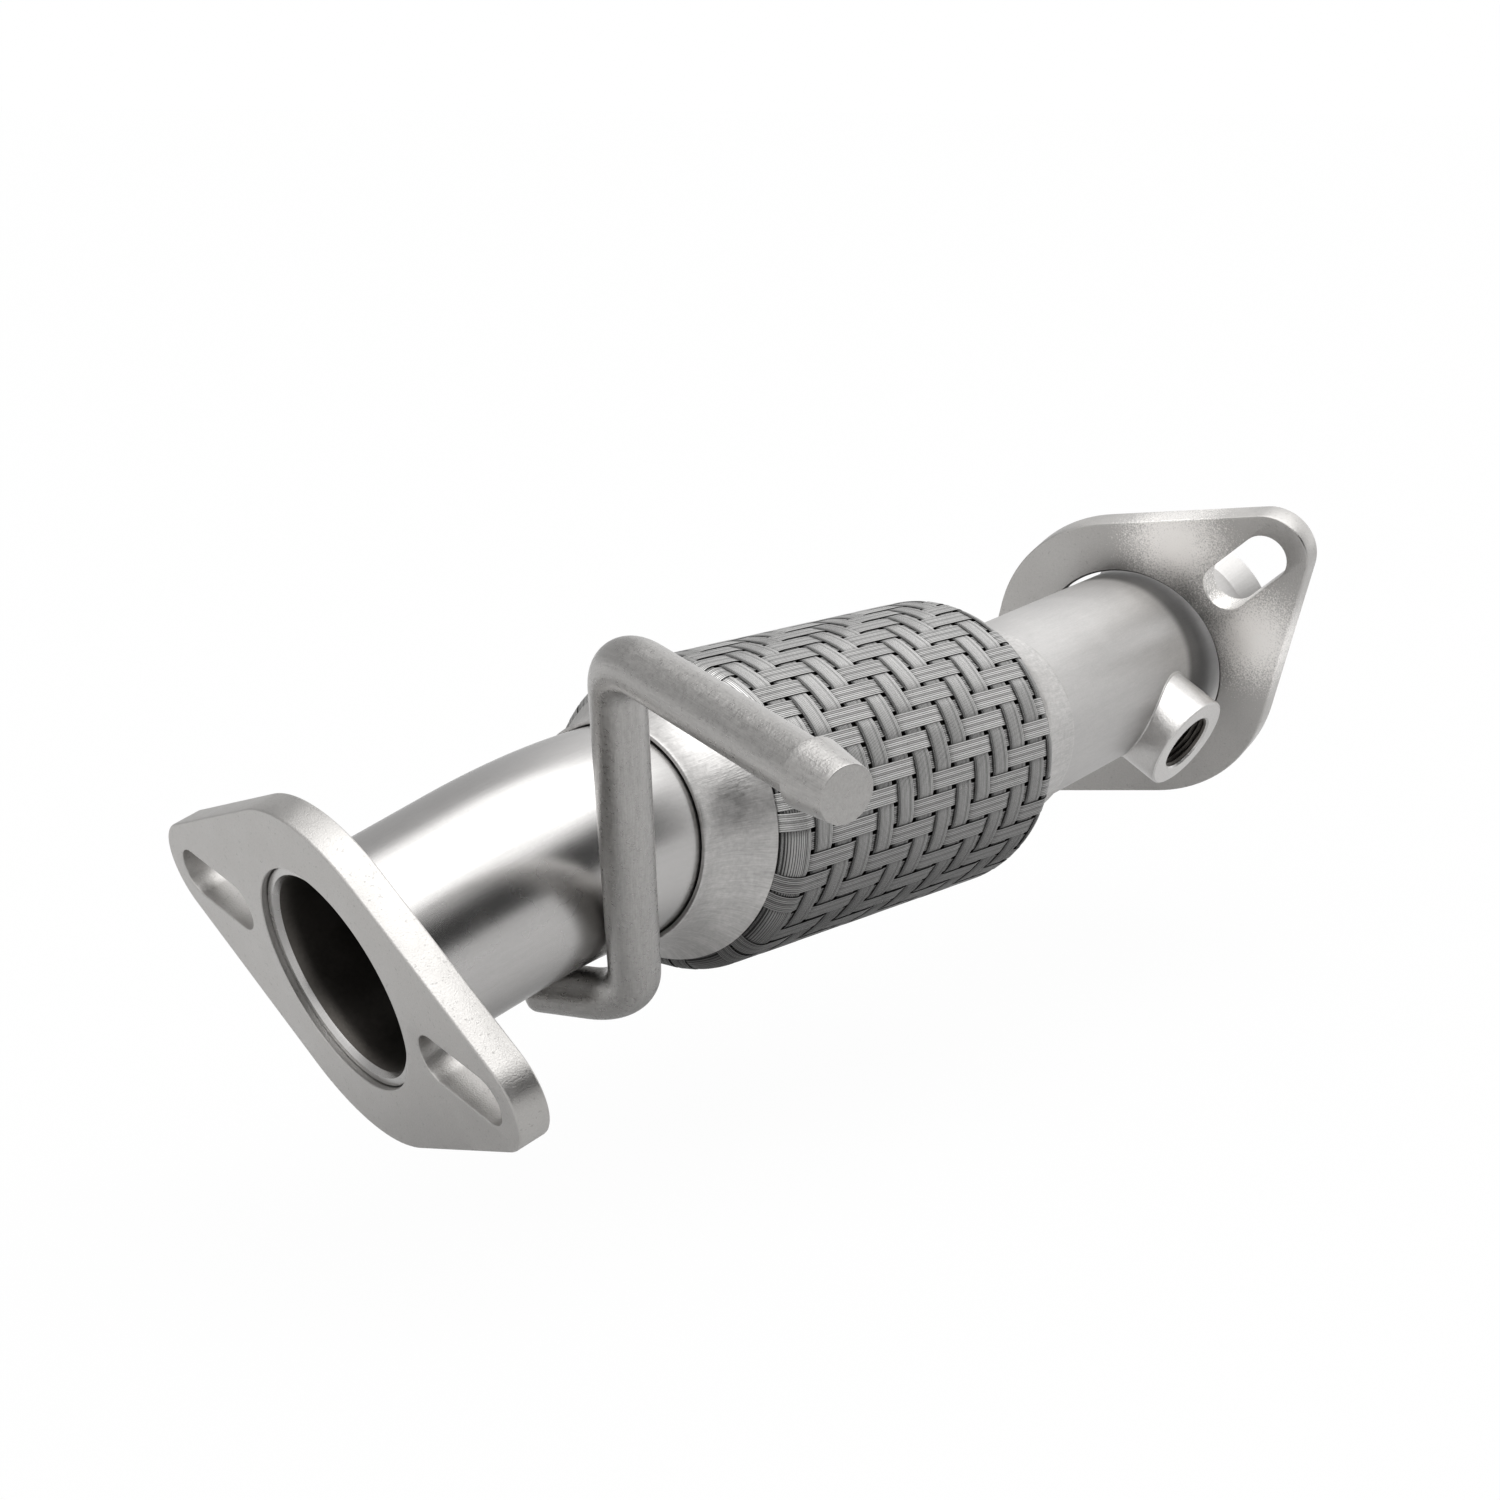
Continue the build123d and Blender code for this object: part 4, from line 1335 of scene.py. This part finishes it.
def on_sleeve(flex, layout, x, a, out):
    """Points at station x and angle a of the sleeve, moved out along its normal."""
    normal = braid_normal(x, flex)
    along = x + out * normal[..., 0]
    radius = braid_radius(x, flex) + out * normal[..., 1]
    radial = np.stack([np.zeros_like(a), np.cos(a), np.sin(a)], -1)
    return layout.sleeve_start + along[..., None] * layout.flex_way + radius[..., None] * radial


class PIPE_OT_braid(bpy.types.Operator):
    """Weaves the sleeve from rows along it and hoops round it"""

    bl_idname = "pipe.braid"
    bl_label = "Braided sleeve"

    def execute(self, context):
        flex, layout = settings("flex_sizes"), Layout()
        rows = self.rows(flex, layout)
        hoops = self.hoops(flex, layout)
        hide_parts("braid_sleeve")
        for piece in (rows, hoops):
            dress(piece, bpy.data.materials["Braid steel"])
            blend_flex(piece)
        return {"FINISHED"}

    def rows(self, flex, layout, steps=7):
        """Rows: ribbons along the sleeve at even angles a, with so many steps from one hoop
        to the next and the section lying across."""
        section = ribbon_section(flex.row_width, flex.ribbon_thick, flex.wire_relief, flex.row_wires)
        x = np.linspace(0, flex.braid_length, flex.hoops * steps + 1)
        row = np.arange(flex.rows)
        place = (x - flex.hoop_inset - flex.hoop_width / 2) / hoop_pitch(flex)
        rise = weave_height(place[None], row[:, None])
        a = (flex.row_start + row * 2 * np.pi / flex.rows)[:, None, None]
        across = np.stack([np.zeros_like(a), -np.sin(a), np.cos(a)], -1)
        middle = on_sleeve(flex, layout, x[None, :, None], a, woven(flex, rise, section))
        points = middle + section[None, None, :, :1] * across
        return ribbons_piece("braid_rows", points, rise, closed=False)

    def hoops(self, flex, layout, steps=5):
        """Hoops: ribbons round the sleeve at even stations, with so many steps from one row
        to the next and the section lying along the sleeve."""
        section = ribbon_section(flex.hoop_width, flex.ribbon_thick, flex.wire_relief, flex.hoop_wires)
        hoop = np.arange(flex.hoops)
        place = np.arange(flex.rows * steps) / steps
        rise = -weave_height(place[None], hoop[:, None])
        centre = flex.hoop_inset + flex.hoop_width / 2 + hoop * hoop_pitch(flex)
        x = (centre[:, None] + section[None, :, 0])[:, None]
        a = (flex.row_start + place * 2 * np.pi / flex.rows)[None, :, None]
        points = on_sleeve(flex, layout, x, a, woven(flex, rise, section))
        return ribbons_piece("braid_hoops", points, rise, closed=True)


def hoop_pitch(flex):
    """Distance between the middles of two hoops."""
    return (flex.braid_length - 2 * flex.hoop_inset - flex.hoop_width) / (flex.hoops - 1)


def ribbons_piece(name, points, rise, closed):
    """One mesh of many ribbons from points[ribbon, station, section, xyz], each closed
    round its section, and along its stations too if it is a hoop, or else at its ends.
    Its uv is a millimetre a station and the number of wires across, and the attribute
    Lift holds the weave height. Only edges at the ribbons' borders are sharp."""
    ribbons, stations, places = points.shape[:3]
    row, column = grid_corners(stations, places, closed)
    ribbon = np.arange(ribbons)[:, None, None] * stations * places
    corners = ribbon + (row % stations) * places + column % places
    wires = np.append(np.arange(places - 2) / 2, [(places - 3) / 2, 0, 0])
    pairs = np.stack([row * 0.001, wires[column]], -1)
    uv, flat = [np.broadcast_to(pairs, (ribbons, *pairs.shape))], []
    if not closed:
        flat = [(ribbon + end_faces(stations, places)).reshape(-1, places)]
        uv.append(np.full((2 * ribbons, places, 2), 0.5))
    piece = mesh_piece(name, points.reshape(-1, 3), [corners.reshape(-1, 4)], flat, uv, crease=50)
    lift = piece.data.attributes.new("Lift", "FLOAT", "POINT")
    lift.data.foreach_set("value", np.repeat(rise.ravel(), places).astype(np.float32))
    return piece


def blend_flex(piece):
    """Bakes a piece's placement into its mesh."""
    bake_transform(piece)


class PIPE_OT_bellows(bpy.types.Operator):
    """Builds the folded bellows inside the sleeve and the liner inside it"""

    bl_idname = "pipe.bellows"
    bl_label = "Bellows and liner"

    def execute(self, context):
        flex, tube, layout = settings("flex_sizes"), settings("tube_sizes"), Layout()
        self.bellows(flex, layout)
        self.liner(flex, tube, layout)
        return {"FINISHED"}

    def bellows(self, flex, layout, fold_steps=12):
        """Folds: the radius follows a cosine from root to crest and back for each fold,
        between two straight cuffs."""
        sides, reach = 96, flex.shoulder
        length = flex.braid_length + 2 * flex.bellows_cuff
        x = np.linspace(reach, flex.braid_length - reach, flex.bellows_folds * fold_steps + 1)
        share = (x - reach) / (flex.braid_length - 2 * reach) * flex.bellows_folds
        swing = (1 - np.cos(2 * np.pi * share)) / 2
        radius = between(flex.bellows_root, flex.bellows_crest, swing)
        x = np.concatenate([[0], x + flex.bellows_cuff, [length]])
        radius = np.concatenate([[flex.bellows_root], radius, [flex.bellows_root]])
        outside = np.stack([x, radius], 1)
        outline = np.concatenate([outside, outside[::-1] - np.array([0, flex.bellows_wall])])
        start = layout.sleeve_start - layout.flex_way * flex.bellows_cuff
        route = Route([start, start + layout.flex_way * length])
        piece = grid_piece("bellows_folds", carried(route, outline, sides), wrap_rows=True)
        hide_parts("bellows")
        # painted shade: the bellows get the dark steel that stands in for the shade inside the sleeve
        dress(piece, bpy.data.materials["Inner steel"])
        blend_flex(piece)

    def liner(self, flex, tube, layout):
        """Straight tube from inside the inlet pipe's end to beyond the sleeve's middle."""
        spacing, sides = 0.004, 128
        start = layout.neck + layout.flex_way * (tube.in_neck - flex.liner_seat)
        outside = tube.radius - tube.wall - flex.liner_fit
        inside, end = outside - flex.liner_wall, flex.liner_length
        corners = [(0, inside), (0, outside), (end, outside), (end, inside)]
        outline = finely(rounded(corners, tube.edge, 4), spacing)
        route = Route([start, start + layout.flex_way * end])
        piece = grid_piece("liner_tube", carried(route, outline, sides), wrap_rows=True)
        stand_in(piece, "inner_liner", INLET_SIDE, "Pipe steel")


class PIPE_OT_rod(bpy.types.Operator):
    """Builds the hanger rod and dresses its weld"""

    bl_idname = "pipe.rod"
    bl_label = "Hanger rod"

    def execute(self, context):
        spacing, sides = 0.0012, 64
        rod, tube, layout = settings("rod_sizes"), settings("tube_sizes"), Layout()
        route = Route(self.corners(rod, tube, layout), [rod.bend_radius] * 2)
        head = route.length - rod.head_length
        corners = [
            (0, 0),
            (0, rod.radius),
            (head, rod.radius),
            (head, rod.head_base),
            (route.length, rod.head_end),
            (route.length, 0),
        ]
        radii = [rod.stub_round, rod.head_edge, rod.head_edge, rod.head_edge]
        outline = finely(rounded(corners, radii, 6, closed=False), spacing, closed=False)
        piece = grid_piece("bent_rod", carried(route, outline, sides), wrap_rows=False)
        stand_in(piece, "hanger_rod", INLET_SIDE, "Rod steel")
        dress(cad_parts["hanger_weld"], bpy.data.materials["Rod steel"])
        return {"FINISHED"}

    def corners(self, rod, tube, layout):
        """Stub's end, corner, top and head's end, set by the weld under the pipe."""
        places, frames = inlet_route(tube, layout).at(np.array([rod.station]))
        stub = heading(rod.stub_azimuth, rod.stub_rise)
        down = unit(np.cross(frames[0, 0], stub))
        down = down * (-1 if down[2] > 0 else 1)
        seat = places[0] + down * (tube.radius + rod.weld_gap + rod.radius)
        corner = seat - stub * rod.stub_to_corner
        top = corner + heading(rod.leg_azimuth, rod.leg_rise) * rod.leg_length
        head = top + heading(rod.arm_azimuth, rod.arm_rise) * rod.arm_length
        return [seat + stub * rod.stub_past_weld, corner, top, head]


class PIPE_OT_bung(bpy.types.Operator):
    """Builds the threaded sensor bung"""

    bl_idname = "pipe.bung"
    bl_label = "Sensor bung"

    def execute(self, context):
        sides = 120
        bung, tube, layout = settings("bung_sizes"), settings("tube_sizes"), Layout()
        foot, axes = bung_frame(bung, layout)
        a = np.linspace(0, 2 * np.pi, sides, endpoint=False)
        bore = list(self.thread(bung, tube, a))
        rows = [*bore, *self.outside(bung, tube, a)]
        radius, height = np.array([row[0] for row in rows]), np.array([row[1] for row in rows])
        ring = ring_way(a[:, None], axes[0], axes[1])
        points = foot + radius[..., None] * ring[None] + height[..., None] * axes[2]
        piece = grid_piece("threaded_bung", points, wrap_rows=True)
        stand_in(piece, "sensor_bung", OUTLET_SIDE, "Bung steel")
        # painted shade: the thread gets the dark steel that stands in for the shade inside the bore
        paint_shade_inside(piece, np.ones((len(bore) - 2) * sides, np.int32))
        return {"FINISHED"}

    def saddle(self, radius, bung, tube, a):
        """Height at which a line along the bung, at a radius and an angle, meets the tube:
        (sqrt(R^2 - (r cos a)^2) - r sin a sin tilt) / cos tilt."""
        level, lean = radius * np.cos(a), radius * np.sin(a)
        rise = np.sqrt(np.maximum(tube.radius**2 - level**2, 0))
        return (rise - lean * np.sin(bung.tilt)) / np.cos(bung.tilt)

    def thread(self, bung, tube, a, rows=72):
        """Bore from the tube to the rim: the radius is the crest plus the depth times a
        triangle wave of height over pitch less the turn, which makes a helix."""
        top, sunk = tube.radius + bung.stand - bung.rim, tube.wall * 0.1
        foot = self.saddle(bung.bore, bung, tube, a) - sunk
        for share in np.linspace(0, 1, rows):
            height = between(foot, top, share)
            turns = height / bung.pitch - a / (2 * np.pi)
            wave = np.abs(2 * (turns % 1) - 1)
            yield bung.bore + bung.thread_depth * wave, height
        mouth = bung.bore + bung.rim + bung.thread_depth / 2
        yield np.full_like(a, mouth), np.full_like(a, top + bung.rim)

    def outside(self, bung, tube, a):
        """Top face, chamfer, outer wall and weld bead, then back under the foot."""
        top, sunk = tube.radius + bung.stand, tube.wall * 0.3
        wall, level = self.saddle(bung.radius, bung, tube, a), np.ones_like(a)
        for inset, drop in ((1, 0), (0.15, 0.5), (0, 1)):
            yield (bung.radius - bung.rim * inset) * level, (top - bung.rim * drop) * level
        for share in np.linspace(0.1, 1, 8):
            yield bung.radius * level, between(top - bung.rim, wall + bung.bead, share)
        for t in np.linspace(np.pi / 2, 0, 7)[1:]:
            radius = bung.radius + bung.bead * np.cos(t)
            yield radius * level, self.saddle(radius, bung, tube, a) + bung.bead * np.sin(t)
        for radius in (bung.radius, bung.bore + bung.rim):
            yield radius * level, self.saddle(radius, bung, tube, a) - sunk


def white_floor(studio):
    """Pale floor that shows white to the camera and partly so in gloss and through glass,
    with the object's shadow kept, and is plain and diffuse to every other ray."""
    gloss_share, white_share = 0.1, 0.97
    material = bpy.data.materials.new("Floor white")
    material.use_nodes = True
    tree = material.node_tree
    shader = tree.nodes["Principled BSDF"]
    shader.inputs["Base Color"].default_value = (*studio.pale_floor, 1.0)
    shader.inputs["Roughness"].default_value = 0.9
    shader.inputs["Specular IOR Level"].default_value = 0.1
    glow = tree.nodes.new("ShaderNodeEmission")
    glow.inputs["Strength"].default_value = 1.0
    rays = tree.nodes.new("ShaderNodeLightPath").outputs
    gloss = maths(tree, "MAXIMUM", rays["Is Glossy Ray"], rays["Is Transmission Ray"])
    partly = maths(tree, "MULTIPLY", gloss, gloss_share)
    shown = maths(tree, "MAXIMUM", partly, rays["Is Camera Ray"])
    mix = tree.nodes.new("ShaderNodeMixShader")
    tree.links.new(maths(tree, "MULTIPLY", shown, white_share), mix.inputs["Fac"])
    tree.links.new(shader.outputs["BSDF"], mix.inputs[1])
    tree.links.new(glow.outputs["Emission"], mix.inputs[2])
    tree.links.new(mix.outputs["Shader"], tree.nodes["Material Output"].inputs["Surface"])
    return material


def closeness(tree, direction, studio, name):
    """How near the world's direction lies to that of a named light of the room: 1 within
    its core, 0 beyond its spread."""
    azimuth, height, core, spread = (
        getattr(studio, f"{name}_{part}") for part in ("azimuth", "height", "core", "spread")
    )
    node = tree.nodes.new("ShaderNodeVectorMath")
    node.operation = "DOT_PRODUCT"
    node.inputs[1].default_value = tuple(heading(azimuth, height))
    tree.links.new(direction, node.inputs[0])
    return eased(tree, node.outputs["Value"], float(np.cos(spread)), float(np.cos(core)))


class PIPE_OT_stage(bpy.types.Operator):
    """Sets the floor, the lights and the camera"""

    bl_idname = "pipe.stage"
    bl_label = "Studio"

    def execute(self, context):
        studio = settings("studio_settings")
        self.floor(studio)
        self.room(studio)
        self.lamp(studio)
        self.camera(studio)
        context.scene.view_settings.view_transform = "Standard"
        return {"FINISHED"}

    def floor(self, studio, thickness=0.01):
        """Level square at the floor's height, with a thin body below it."""
        half, top = studio.floor_reach, -studio.floor_drop
        square = np.array([[-half, -half], [half, -half], [half, half], [-half, half]])
        levels = (np.full(4, top), np.full(4, top - thickness))
        points = np.concatenate([np.column_stack([square, level]) for level in levels])
        side = np.arange(4)
        walls = np.stack([side, side + 4, (side + 1) % 4 + 4, (side + 1) % 4], 1)
        faces = np.concatenate([[[0, 1, 2, 3], [7, 6, 5, 4]], walls])
        floor = mesh_piece("floor", points, [], [faces])
        dress(floor, white_floor(studio))

    def room(self, studio):
        """World: white to the camera. To other rays it is an even room with a lighter end
        past the outlet and a lighter side, a dark side that takes most of that away, and
        a soft bright light overhead."""
        world = bpy.data.worlds.new("Studio")
        bpy.context.scene.world = world
        world.use_nodes = True
        tree = world.node_tree
        direction = tree.nodes.new("ShaderNodeTexCoord").outputs["Generated"]
        end, side, dark, key = (
            closeness(tree, direction, studio, name) for name in ("end", "side", "dark", "key")
        )
        level = maths(tree, "MULTIPLY_ADD", end, studio.end_light, studio.room_light)
        level = maths(tree, "MULTIPLY_ADD", side, studio.side_light, level)
        left = maths(tree, "MULTIPLY_ADD", dark, -studio.dark_share, 1.0)
        level = maths(tree, "MULTIPLY", level, left)
        level = maths(tree, "MULTIPLY_ADD", key, studio.key_light, level)
        room, shown = tree.nodes["Background"], tree.nodes.new("ShaderNodeBackground")
        tree.links.new(level, room.inputs["Strength"])
        for background in (room, shown):
            background.inputs["Color"].default_value = (1, 1, 1, 1)
        rays = tree.nodes.new("ShaderNodeLightPath")
        mix = tree.nodes.new("ShaderNodeMixShader")
        tree.links.new(rays.outputs["Is Camera Ray"], mix.inputs["Fac"])
        tree.links.new(room.outputs[0], mix.inputs[1])
        tree.links.new(shown.outputs[0], mix.inputs[2])
        tree.links.new(mix.outputs[0], tree.nodes["World Output"].inputs["Surface"])

    def lamp(self, studio):
        """Large square lamp above, turned to the object's middle."""
        data = bpy.data.lights.new("key", "AREA")
        data.shape = "SQUARE"
        data.size = studio.lamp_size
        data.energy = studio.lamp_power
        lamp = bpy.data.objects.new("key", data)
        target = Vector((0.17, -0.02, 0.02))
        way = Vector(heading(studio.key_azimuth, studio.key_height))
        lamp.location = target + way * studio.lamp_distance
        lamp.rotation_euler = (-way).to_track_quat("-Z", "Y").to_euler()
        bpy.context.scene.collection.objects.link(lamp)

    def camera(self, studio):
        """Camera at the photograph's place, its axes given as right, up and back."""
        place = Vector((-0.51054, -0.48530, 0.19091))
        right = Vector((0.5895, -0.8078, 0.0)).normalized()
        up = Vector((0.1583, 0.1155, 0.9806)).normalized()
        data = bpy.data.cameras.new("camera")
        data.lens = studio.focal_length
        data.sensor_width = 36.0
        camera = bpy.data.objects.new("camera", data)
        turn = Matrix((right, up, right.cross(up))).transposed().to_4x4()
        camera.matrix_world = Matrix.Translation(place) @ turn
        bpy.context.scene.collection.objects.link(camera)
        bpy.context.scene.camera = camera


OPERATORS = (
    PIPE_OT_steels,
    PIPE_OT_plates,
    PIPE_OT_tubes,
    PIPE_OT_caps,
    PIPE_OT_bellows,
    PIPE_OT_braid,
    PIPE_OT_rod,
    PIPE_OT_bung,
    PIPE_OT_stage,
)


class PIPE_PT_panel(bpy.types.Panel):
    """Lists the sizes and the steps in the sidebar"""

    bl_idname = "PIPE_PT_panel"
    bl_label = "Front Pipe"
    bl_space_type = "VIEW_3D"
    bl_region_type = "UI"
    bl_category = "Front Pipe"

    def draw(self, context):
        for operator in OPERATORS:
            self.layout.operator(operator.bl_idname)
        for name, group in GROUPS.items():
            box = self.layout.box()
            box.label(text=group.__doc__)
            for value in group.__annotations__:
                box.prop(getattr(context.scene, name), value)


def register():
    """Makes the sizes, the operators and the panel known to Blender."""
    for name, group in GROUPS.items():
        bpy.utils.register_class(group)
        setattr(bpy.types.Scene, name, bpy.props.PointerProperty(type=group))
    for kind in (*OPERATORS, PIPE_PT_panel):
        bpy.utils.register_class(kind)


def unregister():
    """Takes them away again."""
    for kind in reversed((*OPERATORS, PIPE_PT_panel)):
        bpy.utils.unregister_class(kind)
    for name, group in GROUPS.items():
        delattr(bpy.types.Scene, name)
        bpy.utils.unregister_class(group)


def main():
    """Builds the pieces and the stage."""
    register()
    bpy.ops.pipe.steels()
    bpy.ops.pipe.plates()
    bpy.ops.pipe.tubes()
    bpy.ops.pipe.caps()
    bpy.ops.pipe.bellows()
    bpy.ops.pipe.braid()
    bpy.ops.pipe.rod()
    bpy.ops.pipe.bung()
    bpy.ops.pipe.stage()


if __name__ == "__main__":
    main()
